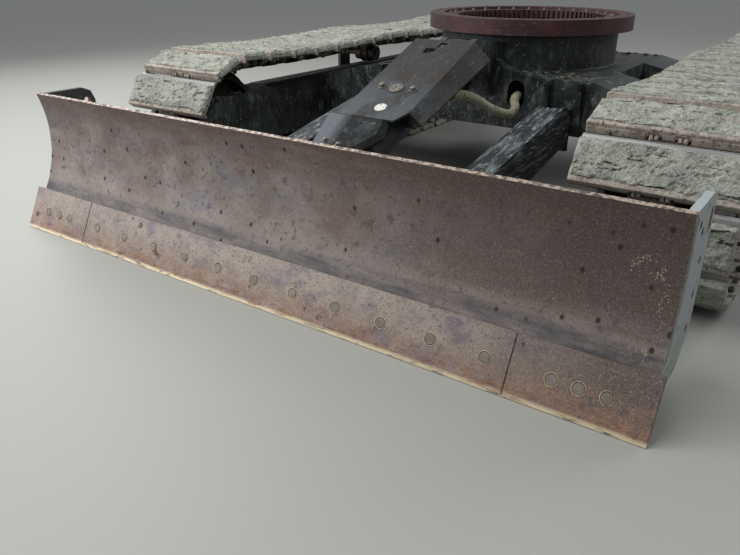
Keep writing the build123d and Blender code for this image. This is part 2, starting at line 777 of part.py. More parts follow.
with BuildPart() as end_plates:
    with BuildSketch(Plane.YZ.offset(blade_half - end_plate)):
        with BuildLine():
            Polyline(
                on_blade(beam_start, end_plate_bottom),
                on_blade(beam_start, end_plate_top),
                on_blade(end_plate_back - end_plate_round, end_plate_top),
                on_blade(end_plate_back - 0.3 * end_plate_round, end_plate_top - 0.3 * end_plate_round),
                on_blade(end_plate_back, end_plate_top - end_plate_round),
                on_blade(end_plate_back, end_plate_bottom + end_plate_heel),
                on_blade(end_plate_back - end_plate_toe, end_plate_bottom),
                close=True,
            )
        make_face()
        clear_of_moldboard()
        with Locations(*[on_blade(back, height) for back, height in end_holes]):
            Circle(end_hole, mode=Mode.SUBTRACT)
        with Locations(on_blade(tie_slot_back, tie_slot_height)):
            SlotOverall(tie_slot_length, tie_slot_width, rotation=90, mode=Mode.SUBTRACT)
    extrude(amount=end_plate)
save_pair(end_plates.part, "end_plate")

with BuildPart() as blade_beam:
    with BuildSketch(Plane.YZ.offset(-blade_half + end_plate)):
        with BuildLine():
            Polyline(
                on_blade(beam_start, beam_bottom),
                on_blade(beam_start, beam_top),
                on_blade(beam_back, beam_top),
                on_blade(beam_back, beam_bottom),
                close=True,
            )
        make_face()
        with BuildLine():
            Polyline(
                on_blade(beam_start, beam_bottom + beam_plate),
                on_blade(beam_start, beam_top - beam_plate),
                on_blade(beam_back - beam_plate, beam_top - beam_plate),
                on_blade(beam_back - beam_plate, beam_bottom + beam_plate),
                close=True,
            )
        make_face(mode=Mode.SUBTRACT)
        clear_of_moldboard()
    extrude(amount=2 * (blade_half - end_plate))
    for rib_x in rib_places:
        with BuildSketch(Plane.YZ.offset(rib_x - rib_thickness / 2)):
            with BuildLine():
                Polyline(
                    on_blade(beam_start, rib_bottom),
                    on_blade(beam_start, beam_top + rib_rise),
                    on_blade(rib_top_back, beam_top + rib_rise),
                    on_blade(beam_back, beam_top),
                    on_blade(beam_back, beam_bottom),
                    on_blade(rib_foot_back, rib_bottom),
                    close=True,
                )
            make_face()
            clear_of_moldboard()
        extrude(amount=rib_thickness)
save(blade_beam.part, "blade_beam")

# Push arms: they swing on the arm pins and end on the blade's beam
arm_end_place = blade_reach - beam_back
arm_end_z = 141.0
arm_end_wall = 20.0
arm_rise = (lug_z - arm_end_z) / (arm_end_place - lug_place)
arm_tilt = math.sqrt(1 + arm_rise ** 2)


def arm_profile(half, start, end):
    """Corners of a push arm's side: square at a start measured from its pivot along the arm, and
    upright at an end that lies ahead of the swing axis."""
    corners = []
    for lift in (half, -half):
        place = lug_place + (start + lift * arm_rise) / arm_tilt
        corners.append((ahead(place), lug_z + (lift - start * arm_rise) / arm_tilt))
    for lift in (-half, half):
        corners.append((ahead(end), lug_z - arm_rise * (end - lug_place) + lift * arm_tilt))
    return corners


with BuildPart() as push_arm:
    with BuildSketch(Plane.YZ.offset(lug_x)):
        with BuildLine():
            Polyline(*arm_profile(arm_height / 2, 0.0, arm_end_place), close=True)
        make_face()
        with Locations((ahead(lug_place), lug_z)):
            Circle(arm_height / 2)
    extrude(amount=arm_width / 2, both=True)
    with BuildSketch(Plane.YZ.offset(lug_x)):
        with BuildLine():
            Polyline(*arm_profile(arm_height / 2 - arm_wall, 0.0, arm_end_place - arm_end_wall), close=True)
        make_face()
        with BuildLine():
            Polyline(
                *arm_profile(arm_height, -arm_height, lug_place)[:2],
                *arm_profile(arm_height, 0.0, lug_place)[1::-1],
                close=True,
            )
        make_face()
    extrude(amount=arm_width / 2 - arm_wall, both=True, mode=Mode.SUBTRACT)
    with BuildSketch(Plane.YZ.offset(lug_x)):
        with Locations((ahead(lug_place), lug_z)):
            Circle(arm_pin + pin_gap)
    extrude(amount=arm_width, both=True, mode=Mode.SUBTRACT)
save_pair(push_arm.part, "push_arm")

# Cylinder that lifts the blade: barrel on the carbody's pin, rod in the blade's ears
rod_back = 420.0            # the rod's eye, behind the cutting edge's tip
rod_place = blade_reach - rod_back
rod_z = 260.0
rod_eye_radius = 48.0
rod_eye_half = 50.0
rod_radius = 30.0
barrel_radius = 65.0
ram_length = math.hypot(rod_place - ram_place, rod_z - ram_z)
ram_forward = (rod_place - ram_place) / ram_length
ram_down = (ram_z - rod_z) / ram_length
barrel_start = 60.0         # along the cylinder from its rear pin, as are the next places
rod_shown = 206.0           # from the barrel's end to the rod's eye
rod_length = 606.0
collar_length = 25.0
collar_radius = 68.0
bore_spare = 90.0           # room behind the rod in its bore
barrel_end = ram_length - rod_shown
collar_end = barrel_end + collar_length
rod_start = ram_length - rod_length
bore_start = rod_start - bore_spare


def ram_plane(distance):
    """The plane across the cylinder this far from its rear pin, with its own Y pointing up."""
    place = (0.0, ahead(ram_place + distance * ram_forward), ram_z - distance * ram_down)
    return Plane(origin=place, x_dir=(1, 0, 0), z_dir=(0, -ram_forward, -ram_down))


def by_ram(x, along, up):
    """A point by the cylinder: X, how far along from the rear pin, how far above the middle line."""
    return Vector(0.0, ahead(ram_place), ram_z) + Vector(
        x, -along * ram_forward - up * ram_down, up * ram_forward - along * ram_down
    )


# Hose in its sleeve: from a fitting on the barrel, down, round and into the carbody's front plate
hose_radius = 18.0
fitting_radius = 15.0
fitting_length = 36.0
pipe_radius = 11.0
hose_points = (             # X, along the cylinder, above its middle line
    (102.0, 309.0, -4.0),
    (125.0, 252.0, -24.0),
    (165.0, 209.0, -64.0),
    (195.0, 170.0, -126.0),
    (215.0, 107.0, -185.0),
    (226.0, 57.0, -221.0),
    (222.0, 0.0, -227.0),
    (190.0, -49.0, -212.0),
    (183.0, -103.0, -234.0),
)
hose_route = [by_ram(*point) for point in hose_points]
hose_start = hose_route[0]
hose_lead = (hose_route[1] - hose_start).normalized()


blade_ear_inset = 10.0      # the blade's ears end this far inside the box's height
ear_boss = 5.0
ear_boss_rim = 8.0

with BuildPart() as blade_ears:
    for ear_side in (-1, 1):
        ear_inner = rod_eye_half + ear_gap
        with BuildSketch(Plane.YZ.offset(ear_side * (ear_inner + ear_thickness / 2))):
            with BuildLine():
                Polyline(
                    (ahead(arm_end_place), edge_floor_gap + beam_top - blade_ear_inset),
                    (ahead(rod_place), rod_z + ear_radius),
                    (ahead(rod_place), rod_z - ear_radius),
                    (ahead(arm_end_place), edge_floor_gap + beam_bottom + blade_ear_inset),
                    close=True,
                )
            make_face()
            with Locations((ahead(rod_place), rod_z)):
                Circle(ear_radius)
        extrude(amount=ear_thickness / 2, both=True)
        with BuildSketch(Plane.YZ.offset(ear_side * (ear_inner + ear_thickness + ear_boss))):
            with Locations((ahead(rod_place), rod_z)):
                Circle(ram_pin + ear_boss_rim)
        extrude(amount=ear_boss + weld_lap, both=True)
save(blade_ears.part, "blade_ears")

with BuildPart() as ram_barrel:
    with BuildSketch(ram_plane(0.0)):
        Circle(barrel_radius * 0.62)
    extrude(amount=barrel_start + weld_lap)
    with BuildSketch(ram_plane(barrel_start)):
        Circle(barrel_radius)
    extrude(amount=barrel_end - barrel_start)
    with BuildSketch(ram_plane(barrel_end - weld_lap)):
        Circle(collar_radius)
    extrude(amount=collar_end - barrel_end + weld_lap)
    with BuildSketch(Plane.YZ):
        with Locations((ahead(ram_place), ram_z)):
            Circle(rod_eye_radius)
    extrude(amount=ram_eye_half, both=True)
    with BuildSketch(Plane.YZ):
        with Locations((ahead(ram_place), ram_z)):
            Circle(ram_pin + pin_gap)
    extrude(amount=ram_eye_half + weld_lap, both=True, mode=Mode.SUBTRACT)
    with BuildSketch(Plane(origin=hose_start - hose_lead * fitting_length, z_dir=hose_lead)):
        Circle(fitting_radius)
    extrude(amount=fitting_length)
    pipe_end = hose_start - hose_lead * (fitting_length / 2)
    pipe_start = Vector(0.0, pipe_end.Y, ram_z - (swing_y - pipe_end.Y - ram_place) * ram_down / ram_forward)
    with BuildSketch(Plane(origin=pipe_start, z_dir=pipe_end - pipe_start)):
        Circle(pipe_radius)
    extrude(amount=(pipe_end - pipe_start).length)
    with BuildSketch(ram_plane(bore_start)):
        Circle(rod_radius + running_gap)
    extrude(amount=collar_end - bore_start + weld_lap, mode=Mode.SUBTRACT)
save(ram_barrel.part, "cylinder_barrel")

with BuildPart() as ram_rod:
    with BuildSketch(ram_plane(rod_start)):
        Circle(rod_radius)
    extrude(amount=ram_length - rod_start)
    with BuildSketch(Plane.YZ):
        with Locations((ahead(rod_place), rod_z)):
            Circle(rod_eye_radius)
    extrude(amount=rod_eye_half, both=True)
save(ram_rod.part, "cylinder_rod")

# Guard over the cylinder: a bent plate on two saddles, and a skew bonnet over the rod
guard_sheet = 8.0
guard_rear = 95.0           # along the cylinder from its rear pin, as are the next places
guard_gap = 266.0           # from the guard's front edge to the rod's eye
bonnet_length = 154.0
bonnet_bend_place = 65.0    # where the bonnet bends, from its rear edge
guard_front = ram_length - guard_gap
bonnet_bend = guard_front + bonnet_bend_place
bonnet_front = guard_front + bonnet_length
guard_top = 98.0
guard_half = 128.0
rear_saddle = 225.0
front_saddle_gap = 110.0    # from the front saddle to the guard's front edge
saddle_places = (rear_saddle, guard_front - front_saddle_gap)
saddle_thickness = 12.0
saddle_half = 95.0
skirt_tips = (              # along, then half width and height of the guard's lower edges
    (guard_rear, 184.0, 32.0),
    (guard_front, 165.0, 54.4),
)
skirt_cut = 57.0            # the skirt ends this far behind the guard's front edge
skirt_front = guard_front - skirt_cut
cut_ahead = 10.0            # room for that cut in front of the guard
plate_corner = 99.0         # X at which the top plate's cut corner meets its front edge
guard_slots = (             # X and place along the cylinder of the middle, then width and length
    (-22.0, 178.0, 44.0, 36.0),
    (10.5, 134.0, 31.0, 38.0),
)
bonnet_sections = (         # along, then (X, height) of one edge, of two bends and of the other edge
    (guard_front, (-186.0, 50.0), (-165.0, guard_top), (60.0, guard_top), (80.0, guard_top - 18.0)),
    (bonnet_bend, (-177.0, 35.6), (-159.0, 83.6), (72.0, 83.6), (92.0, 65.6)),
    (bonnet_front, (-165.0, 16.0), (-150.0, 64.0), (-8.0, 64.0), (12.0, 46.0)),
)


def bent_sheet(corners):
    """A bent plate across the cylinder: its upper corners in turn, then the same ones underneath."""
    inner = [(x - math.copysign(guard_sheet * 0.5, x), z - guard_sheet) for x, z in corners]
    return list(corners) + inner[::-1]


with BuildPart() as guard:
    for along, half_width, low in skirt_tips:
        with BuildSketch(ram_plane(along)):
            with BuildLine():
                left = ((-half_width, low), (-guard_half, guard_top))
                right = ((guard_half, guard_top), (half_width, low))
                Polyline(*bent_sheet(left + right), close=True)
            make_face()
    loft(ruled=True)
    with BuildSketch(Plane(origin=by_ram(0, 0, 0), x_dir=(1, 0, 0), z_dir=(0, ram_down, -ram_forward))):
        with BuildLine():
            Polyline(
                (guard_half, skirt_front),
                (2 * guard_half, skirt_front),
                (2 * guard_half, guard_front + cut_ahead),
                (plate_corner, guard_front + cut_ahead),
                (plate_corner, guard_front),
                close=True,
            )
        make_face()
        for x, along, width, length in guard_slots:
            with Locations((x, along)):
                Rectangle(width, length)
    extrude(amount=2 * guard_top, both=True, mode=Mode.SUBTRACT)
    for place in saddle_places:
        with BuildSketch(ram_plane(place - saddle_thickness / 2)):
            with Locations((0, (guard_top - guard_sheet + weld_lap) / 2)):
                Rectangle(2 * saddle_half, guard_top - guard_sheet + weld_lap)
            Circle(barrel_radius + running_gap, mode=Mode.SUBTRACT)
        extrude(amount=saddle_thickness)
save(guard.part, "cylinder_guard")

with BuildPart() as bonnet:
    for along, *corners in bonnet_sections:
        with BuildSketch(ram_plane(along)):
            with BuildLine():
                Polyline(*bent_sheet(corners), close=True)
            make_face()
    loft(ruled=True)
save(bonnet.part, "guard_bonnet")


def turn_radii(route):
    """A bend radius for each inner corner, so that neighbouring bends leave a straight piece."""
    radii = []
    for before, corner, after in zip(route, route[1:], route[2:]):
        first = corner - before
        second = after - corner
        turn = math.radians(first.get_angle(second))
        radii.append(0.45 * min(first.length, second.length) / math.tan(turn / 2))
    return radii


hose_radii = turn_radii(hose_route)
with BuildPart() as hose:
    with BuildLine():
        hose_line = FilletPolyline(*hose_route, radius=hose_radii)
    with BuildSketch(Plane(origin=hose_start, z_dir=hose_lead)):
        Circle(hose_radius)
    sweep()
save(hose.part, "hose")
tube_volume = math.pi * hose_radius ** 2 * hose_line.length
print("hose bend radii:", [round(radius) for radius in hose_radii])
print("hose length:", round(hose_line.length), "section times length:", round(tube_volume))
print("hose volume:", round(hose.part.volume))
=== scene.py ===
# %% [markdown]
# # Crawler undercarriage with a dozer blade
# The imported model comes in as a frame: every piece of the machine is already in its place, in
# metres. This lesson dresses those pieces in worn steel, old paint and dried mud, and adds the small
# things that a workshop drawing leaves out.

# %% Load the frame
import json
import math
import random

import bmesh
import bpy
from mathutils import Matrix, Vector, noise

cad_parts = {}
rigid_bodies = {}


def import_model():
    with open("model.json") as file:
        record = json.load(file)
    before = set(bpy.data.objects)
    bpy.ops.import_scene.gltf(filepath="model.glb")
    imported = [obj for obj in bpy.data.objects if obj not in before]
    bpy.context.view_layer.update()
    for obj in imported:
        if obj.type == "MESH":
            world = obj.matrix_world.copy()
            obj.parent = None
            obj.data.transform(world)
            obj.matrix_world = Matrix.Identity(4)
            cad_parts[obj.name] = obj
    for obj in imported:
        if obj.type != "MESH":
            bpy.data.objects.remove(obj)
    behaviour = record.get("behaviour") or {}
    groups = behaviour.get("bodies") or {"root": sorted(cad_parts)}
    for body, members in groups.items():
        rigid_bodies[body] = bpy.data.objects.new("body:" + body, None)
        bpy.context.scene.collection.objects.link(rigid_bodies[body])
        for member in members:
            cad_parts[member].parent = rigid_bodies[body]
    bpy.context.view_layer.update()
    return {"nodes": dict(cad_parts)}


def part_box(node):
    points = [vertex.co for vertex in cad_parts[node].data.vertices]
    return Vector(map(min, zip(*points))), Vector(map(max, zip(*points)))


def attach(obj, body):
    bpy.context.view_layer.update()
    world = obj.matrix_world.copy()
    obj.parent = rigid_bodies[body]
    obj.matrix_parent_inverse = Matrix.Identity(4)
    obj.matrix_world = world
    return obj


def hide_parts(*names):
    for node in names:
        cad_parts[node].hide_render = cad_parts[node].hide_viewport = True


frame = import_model()
nodes = frame["nodes"]

# %% [markdown]
# ## Where things are
# The swing ring's middle and the blade's lowest front corner are read from the frame. The rest are
# the machine's own sizes in metres: the tracks' wheels, and the line of the cylinder that lifts the
# blade. Two small functions turn a distance from the swing axis, or along the cylinder, into a point.

# %% Places
ring_low, ring_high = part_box("swing_ring_outer")
swing_y = (ring_low[1] + ring_high[1]) / 2
blade_tip_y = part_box("cutting_edge")[0][1]
wheelbase, wheel_z, pitch_radius = 2.235, 0.295, 0.245
track_x, carbody_top = 0.960, 0.504
ram_place, ram_z, ram_length = 0.670, 0.600, 0.90620
ram_forward, ram_down = 0.84 / ram_length, 0.34 / ram_length


def ahead(distance):
    """Y of a place this many metres in front of the swing axis."""
    return swing_y - distance


def by_ram(x, along, up):
    """A point by the cylinder: X, how far along from the rear pin, how far above the middle line."""
    y = ahead(ram_place) - along * ram_forward - up * ram_down
    return Vector((x, y, ram_z + up * ram_forward - along * ram_down))


rear_y, front_y = ahead(-wheelbase / 2), ahead(wheelbase / 2)
print("swing axis at y =", round(swing_y, 4), "blade tip at y =", round(blade_tip_y, 4))

# %% [markdown]
# ## The camera
# The photograph was taken at the machine's front left corner, at about breast height. The blade's
# bolts are six inches apart, and from them the camera's place, its turn and its lens follow. It could
# be set by eye, but then no size read from the picture would be true. Nothing is out of focus, so
# depth of field stays off.

# %% Camera
def in_scene(name, data):
    """A new object with this name and data, linked to the scene."""
    made = bpy.data.objects.new(name, data)
    bpy.context.scene.collection.objects.link(made)
    return made


camera_data = bpy.data.cameras.new("camera")
camera_data.sensor_width = 36.0
camera_data.lens = 33.57
camera_data.clip_start = 0.05
camera = in_scene("camera", camera_data)
camera.location = (1.3554, blade_tip_y - 1.2916, 0.9448)
camera.rotation_euler = (math.radians(90 - 24.95), 0.0, math.radians(35.08))
bpy.context.scene.camera = camera
print("camera at", [round(v, 3) for v in camera.location])

# %% [markdown]
# ## Materials
# Each material is a base colour with a few coats over it. A coat is a procedural pattern of a real
# size in millimetres, cut to a range, with its own colour and roughness. It can be kept to a band of
# the object, such as the lowest centimetres of the blade. Colours are picked as they look on a
# screen and turned to linear light by one function. Pictures of rust and mud could be laid on
# instead, but they stretch on thin edges, and they repeat.

# %% Colour and node helpers
def linear(code):
    """A screen colour such as #8a8f7c as linear red, green, blue and full opacity."""
    parts = [int(code[index : index + 2], 16) / 255 for index in (1, 3, 5)]
    return tuple(v / 12.92 if v <= 0.04045 else ((v + 0.055) / 1.055) ** 2.4 for v in parts) + (1.0,)


def feed(tree, node, inputs):
    """Sets a node's inputs, by name or number, to values or to the sockets of other nodes."""
    for name, value in inputs.items():
        if isinstance(value, bpy.types.NodeSocket):
            tree.links.new(value, node.inputs[name])
        else:
            node.inputs[name].default_value = value


def add(tree, kind, inputs=None, **settings):
    """Adds one node with its settings and inputs."""
    node = tree.nodes.new(kind)
    for name, value in settings.items():
        setattr(node, name, value)
    feed(tree, node, inputs or {})
    return node


print("one function turns screen colours to linear ones:", [round(v, 3) for v in linear("#8a8f7c")])

# %% Layered materials
def pattern(tree, point, kind, size):
    """A pattern between 0 and 1 whose grains measure size, in millimetres, along X, Y and Z."""
    sizes = size if isinstance(size, tuple) else (size,) * 3
    scaled = add(tree, "ShaderNodeMapping", {"Vector": point, "Scale": [1000.0 / v for v in sizes]})
    if kind == "spots":
        cells = add(tree, "ShaderNodeTexVoronoi", {"Vector": scaled.outputs[0], "Scale": 1.0})
        nearness = {0: 1.0, 1: cells.outputs["Distance"]}
        return add(tree, "ShaderNodeMath", nearness, operation="SUBTRACT").outputs[0]
    grain = {"Vector": scaled.outputs[0], "Scale": 1.0, "Detail": 5.0, "Roughness": 0.62}
    return add(tree, "ShaderNodeTexNoise", grain).outputs[0]


def coat(size, low, high, shade, rough, band=None, kind="noise"):
    """One coat: its grain in millimetres, the range it is cut to, its colour and its roughness. A band
    is an axis number and the two places between which the coat fades in."""
    return size, low, high, shade, rough, band, kind


def layered(name, base, rough, *coats, metal=0.0, bump=(12.0, 0.25)):
    """A material made of a base and coats. The bump is its grain in millimetres, its strength and, if
    it isn't 2, its depth in millimetres."""
    made = bpy.data.materials.new(name)
    made.use_nodes = True
    tree = made.node_tree
    place = add(tree, "ShaderNodeTexCoord").outputs["Object"]
    axes = add(tree, "ShaderNodeSeparateXYZ", {0: place})
    colour, roughness = linear(base), rough
    for size, low, high, shade, coat_rough, band, kind in coats:
        cut = {"Value": pattern(tree, place, kind, size), "From Min": low, "From Max": high}
        mask = add(tree, "ShaderNodeMapRange", cut).outputs[0]
        if band:
            fade = {"Value": axes.outputs[band[0]], "From Min": band[1], "From Max": band[2]}
            inside = add(tree, "ShaderNodeMapRange", fade).outputs[0]
            mask = add(tree, "ShaderNodeMath", {0: mask, 1: inside}, operation="MULTIPLY").outputs[0]
        mixed = add(tree, "ShaderNodeMix", {0: mask, 6: colour, 7: linear(shade)}, data_type="RGBA")
        colour = mixed.outputs[2]
        roughness = add(tree, "ShaderNodeMix", {0: mask, 2: roughness, 3: coat_rough}).outputs[0]
    grain, strength, depth = (*bump, 2.0)[:3]
    height = pattern(tree, place, "noise", grain)
    relief = add(tree, "ShaderNodeBump", {"Height": height, "Strength": strength, "Distance": depth / 1000})
    finish = {"Base Color": colour, "Roughness": roughness, "Metallic": metal, "Normal": relief.outputs[0]}
    feed(tree, tree.nodes["Principled BSDF"], finish)
    return made


print("one coat's values:", coat(90.0, 0.40, 0.60, "#9da096", 0.95))

# %% [markdown]
# ## Clay and the tracks' steel
# Steel that works in soil has no even colour anywhere. The clay on the shoes has dried to a grey green
# with pale ridges and dark cracks. Where it fell off, rusty steel shows, and the ground keeps the
# shoes' lips bare. Broad patches come first in each material, then finer grain, then cracks.

# %% Clay and track steel
# Dried clay on the shoes, with pale ridges and dark cracks
mud = layered(
    "dried_mud", "#7a7c74", 0.95,
    coat(90.0, 0.40, 0.60, "#9da096", 0.95),
    coat(26.0, 0.48, 0.64, "#65675e", 0.97),
    coat((200.0, 60.0, 60.0), 0.58, 0.72, "#8f8273", 0.95),
    coat(5.0, 0.44, 0.66, "#a1a499", 0.93),
    coat(4.0, 0.56, 0.66, "#45463e", 0.97),
    coat(9.0, 0.64, 0.72, "#c8c8ba", 0.93),
    coat((70.0, 15.0, 15.0), 0.61, 0.65, "#2b2a25", 1.0),
    bump=(7.0, 0.9, 2.6),
)
# The same clay painted darker, as painted shade, where it stays in the shade under the track and
# along the frames
dark_mud = layered(
    "dark_mud", "#33332c", 0.97,
    coat(40.0, 0.45, 0.62, "#55564a", 0.95),
    coat(12.0, 0.56, 0.68, "#7b7d6c", 0.95),
    coat(18.0, 0.60, 0.70, "#16150f", 1.0),
    bump=(9.0, 0.9),
)
# Rolled steel of the shoes: rusty, with pale dust in its grain
shoe_steel = layered(
    "shoe_steel", "#857b72", 0.75,
    coat(40.0, 0.42, 0.60, "#a59c90", 0.85),
    coat(22.0, 0.56, 0.66, "#6b584b", 0.85),
    coat(7.0, 0.50, 0.62, "#a8a196", 0.85),
    coat(9.0, 0.58, 0.66, "#39322c", 0.8),
    metal=0.2, bump=(6.0, 0.7),
)
# Forged links, pins and bushings: dark oily brown
link_steel = layered(
    "link_steel", "#2c2521", 0.55,
    coat(25.0, 0.50, 0.62, "#453730", 0.7),
    coat(9.0, 0.62, 0.70, "#6d655c", 0.8),
    metal=0.4, bump=(5.0, 0.4),
)
# The lips of the shoes, polished by the ground
bare_lip = layered(
    "bare_lip", "#8d8d8b", 0.5,
    coat((160.0, 9.0, 9.0), 0.48, 0.60, "#737271", 0.5),
    coat(14.0, 0.60, 0.70, "#6b5d54", 0.8),
    metal=0.35, bump=(4.0, 0.3),
)
print("materials:", len(bpy.data.materials))

# %% [markdown]
# ## Rust of the blade
# The blade is rubbed down to brown rust with a purple cast, and its edge goes to orange low down and
# to bare metal at the tip. Both are painted darker towards the operator's left, as painted shade where
# the light falls off; the moldboard's top and the strip just above the edge carry painted shade too.
# Masks could be painted by hand for this; a band on an axis does the same with two numbers that
# anyone can change.

# %% Rust of the blade
# Moldboard: rubbed brown rust, purple at one side, with pits and fine upright scratches, and bands
# of painted shade: towards +X, along its top and just above the cutting edge
moldboard_rust = layered(
    "moldboard_rust", "#6c625c", 0.58,
    coat(170.0, 0.40, 0.60, "#88807c", 0.56),
    coat((150.0, 150.0, 90.0), 0.52, 0.66, "#6e6b72", 0.52),
    coat((210.0, 210.0, 120.0), 0.52, 0.68, "#6f5a55", 0.6),
    # Reddish darker top: rust tint, darkened as painted shade where the curve faces down
    coat((300.0, 300.0, 60.0), 0.25, 0.50, "#5a443f", 0.65, (2, 0.35, 0.50)),
    # Darker towards +X, the operator's left: painted shade where the light falls off
    coat(500.0, 0.10, 0.40, "#50433e", 0.6, (0, 0.0, 0.9)),
    coat((260.0, 260.0, 40.0), 0.36, 0.58, "#857c76", 0.72, (2, 0.24, 0.15)),
    coat((4.0, 4.0, 5.0), 0.50, 0.80, "#8a8079", 0.52),
    coat(4.0, 0.52, 0.72, "#564b45", 0.62),
    coat(14.0, 0.56, 0.72, "#4b4341", 0.7),
    coat(30.0, 0.60, 0.70, "#54484a", 0.62),
    # Dark band just above the cutting edge: painted shade in the corner above the edge's ledge
    coat((260.0, 260.0, 50.0), 0.36, 0.62, "#403f44", 0.6, (2, 0.179, 0.157)),
    coat((24.0, 24.0, 30.0), 0.90, 0.95, "#3a2f2a", 0.7, kind="spots"),
    coat((52.0, 52.0, 66.0), 0.85, 0.92, "#2b211d", 0.7, kind="spots"),
    coat(14.0, 0.44, 0.56, "#a8998a", 0.5, (2, 0.4842, 0.4854)),
    coat(14.0, 0.36, 0.52, "#93887d", 0.5, (0, 1.1446, 1.1453)),
    metal=0.3, bump=(5.0, 0.35),
)
# Cutting edge: the same rust, going to orange low down, with a bright bare tip, and painted shade
# towards +X
edge_steel = layered(
    "edge_steel", "#857a73", 0.58,
    coat(120.0, 0.42, 0.60, "#94897f", 0.58),
    coat((90.0, 90.0, 60.0), 0.50, 0.64, "#67626a", 0.52),
    # Darker towards +X: painted shade where the light falls off
    coat(500.0, 0.10, 0.40, "#574b45", 0.6, (0, 0.6, 1.05)),
    coat(26.0, 0.34, 0.62, "#8c6a54", 0.75, (2, 0.100, 0.020)),
    coat((3.0, 3.0, 4.5), 0.50, 0.74, "#978c85", 0.55),
    coat(6.0, 0.52, 0.70, "#5b4d44", 0.7),
    coat(24.0, 0.89, 0.95, "#3a2c24", 0.8, kind="spots"),
    coat(34.0, 0.62, 0.70, "#50413a", 0.8),
    coat((50.0, 50.0, 14.0), 0.50, 0.70, "#6a4634", 0.8, (2, 0.050, 0.010)),
    coat((40.0, 40.0, 8.0), 0.34, 0.50, "#c6b898", 0.4, (2, 0.015, 0.007)),
    metal=0.3, bump=(5.0, 0.35),
)
print("materials:", len(bpy.data.materials))

# %% Seams, bolts, rims and splashes
# Dark seams, where dirt and old grease sit between two plates; the same dark is painted shade in the
# gaps round the plow bolts and inside the end plates' holes
seam_dirt = layered("seam_dirt", "#1c1714", 0.9, coat(9.0, 0.5, 0.66, "#3d322b", 0.9))
# Plow bolts' heads, darker than the edge, in rims painted pale gold as a painted highlight, where the
# counterbores' edges catch the light
plow_steel = layered(
    "plow_steel", "#6d625d", 0.55,
    coat(40.0, 0.44, 0.58, "#7c726b", 0.55),
    coat(5.0, 0.56, 0.72, "#4a4038", 0.7),
    metal=0.3, bump=(5.0, 0.35),
)
worn_rim = layered(
    "worn_rim", "#b3a582", 0.5,
    coat(30.0, 0.50, 0.66, "#6b5d4a", 0.7),
    metal=0.2, bump=(4.0, 0.2),
)
# Rust inside the end plates' slots, and pale splashes of dry clay on the moldboard
slot_rust = layered("slot_rust", "#6b4837", 0.9, coat(12.0, 0.48, 0.60, "#8c6c52", 0.9))
pale_splash = layered("pale_splash", "#b3a898", 0.85, coat(6.0, 0.50, 0.60, "#8d8376", 0.9))
print("materials:", len(bpy.data.materials))

# %% [markdown]
# ## Old paint
# The frames keep some black paint under flaked splashes, and mud, boots and straps have scuffed the
# arms and the guard. A scuff is a coat whose grain is long in the direction of the rubbing.

# %% Paint of the end plates, the frames and the arms
# End plates: old grey-blue paint under dust, and painted darker towards -X as painted shade on the
# far plate's shaded inner side
end_paint_and_shade = layered(
    "end_plate_paint", "#929a9b", 0.55,
    coat(90.0, 0.44, 0.60, "#949b9b", 0.6),
    coat((14.0, 60.0, 14.0), 0.60, 0.70, "#5c6263", 0.6),
    coat(16.0, 0.65, 0.69, "#6a4632", 0.85),
    coat(60.0, 0.40, 0.58, "#8f8a76", 0.85, (2, 0.22, 0.06)),
    coat(5.0, 0.60, 0.68, "#a9ada8", 0.8),
    # Darker towards -X: painted shade on the far end plate's inner side
    coat(40.0, 0.20, 0.40, "#2c2f30", 0.7, (0, -1.0, -1.13)),
    bump=(8.0, 0.25),
)
# Black paint of the frames, arms and carbody: flaked splashes of dry mud and smears of dust
frame_paint = layered(
    "frame_paint", "#121617", 0.5,
    coat(160.0, 0.45, 0.65, "#22282a", 0.6),
    coat((60.0, 60.0, 160.0), 0.55, 0.68, "#343a3b", 0.75),
    coat((40.0, 40.0, 60.0), 0.54, 0.70, "#535a54", 0.95),
    coat((12.0, 12.0, 60.0), 0.58, 0.72, "#5c625e", 0.9),
    coat(9.0, 0.64, 0.69, "#8f958b", 0.95),
    coat(60.0, 0.60, 0.66, "#0c0f10", 0.5),
    bump=(12.0, 0.4),
)
# The arms' paint, scuffed grey along its length by mud and boots
arm_paint = layered(
    "arm_paint", "#181c1f", 0.5,
    coat(120.0, 0.45, 0.65, "#292e32", 0.6),
    coat((24.0, 200.0, 24.0), 0.50, 0.62, "#5d6264", 0.75),
    coat((9.0, 90.0, 9.0), 0.58, 0.68, "#93979a", 0.8),
    coat(12.0, 0.64, 0.69, "#9a9a90", 0.9),
    coat((20.0, 60.0, 20.0), 0.60, 0.68, "#101214", 0.5),
    bump=(14.0, 0.35),
)
print("materials:", len(bpy.data.materials))

# %% Paint of the guard and the drives
# Guard over the cylinder: blue-black paint, scuffed and scratched
guard_paint = layered(
    "guard_paint", "#101112", 0.7,
    coat(130.0, 0.44, 0.62, "#1c1d1e", 0.65),
    coat(150.0, 0.25, 0.50, "#2e343b", 0.6, (1, -0.76, -0.95)),
    coat((60.0, 120.0, 120.0), 0.50, 0.64, "#26211d", 0.85),
    coat((14.0, 90.0, 60.0), 0.59, 0.71, "#575854", 0.85),
    coat((3.0, 70.0, 40.0), 0.66, 0.73, "#7d8182", 0.6),
    coat(6.0, 0.65, 0.71, "#8b8a81", 0.9),
    bump=(30.0, 0.12),
)
# Bonnet: the same paint with a worn grey face and a black smear
bonnet_paint = layered(
    "bonnet_paint", "#3c4149", 0.55,
    coat(160.0, 0.15, 0.42, "#0e1313", 0.95, (0, -0.110, -0.060)),
    coat((3.0, 50.0, 50.0), 0.66, 0.73, "#7b8082", 0.5),
    coat(30.0, 0.58, 0.68, "#33383c", 0.5),
    coat(7.0, 0.66, 0.71, "#8a8a82", 0.9),
    bump=(30.0, 0.12),
)
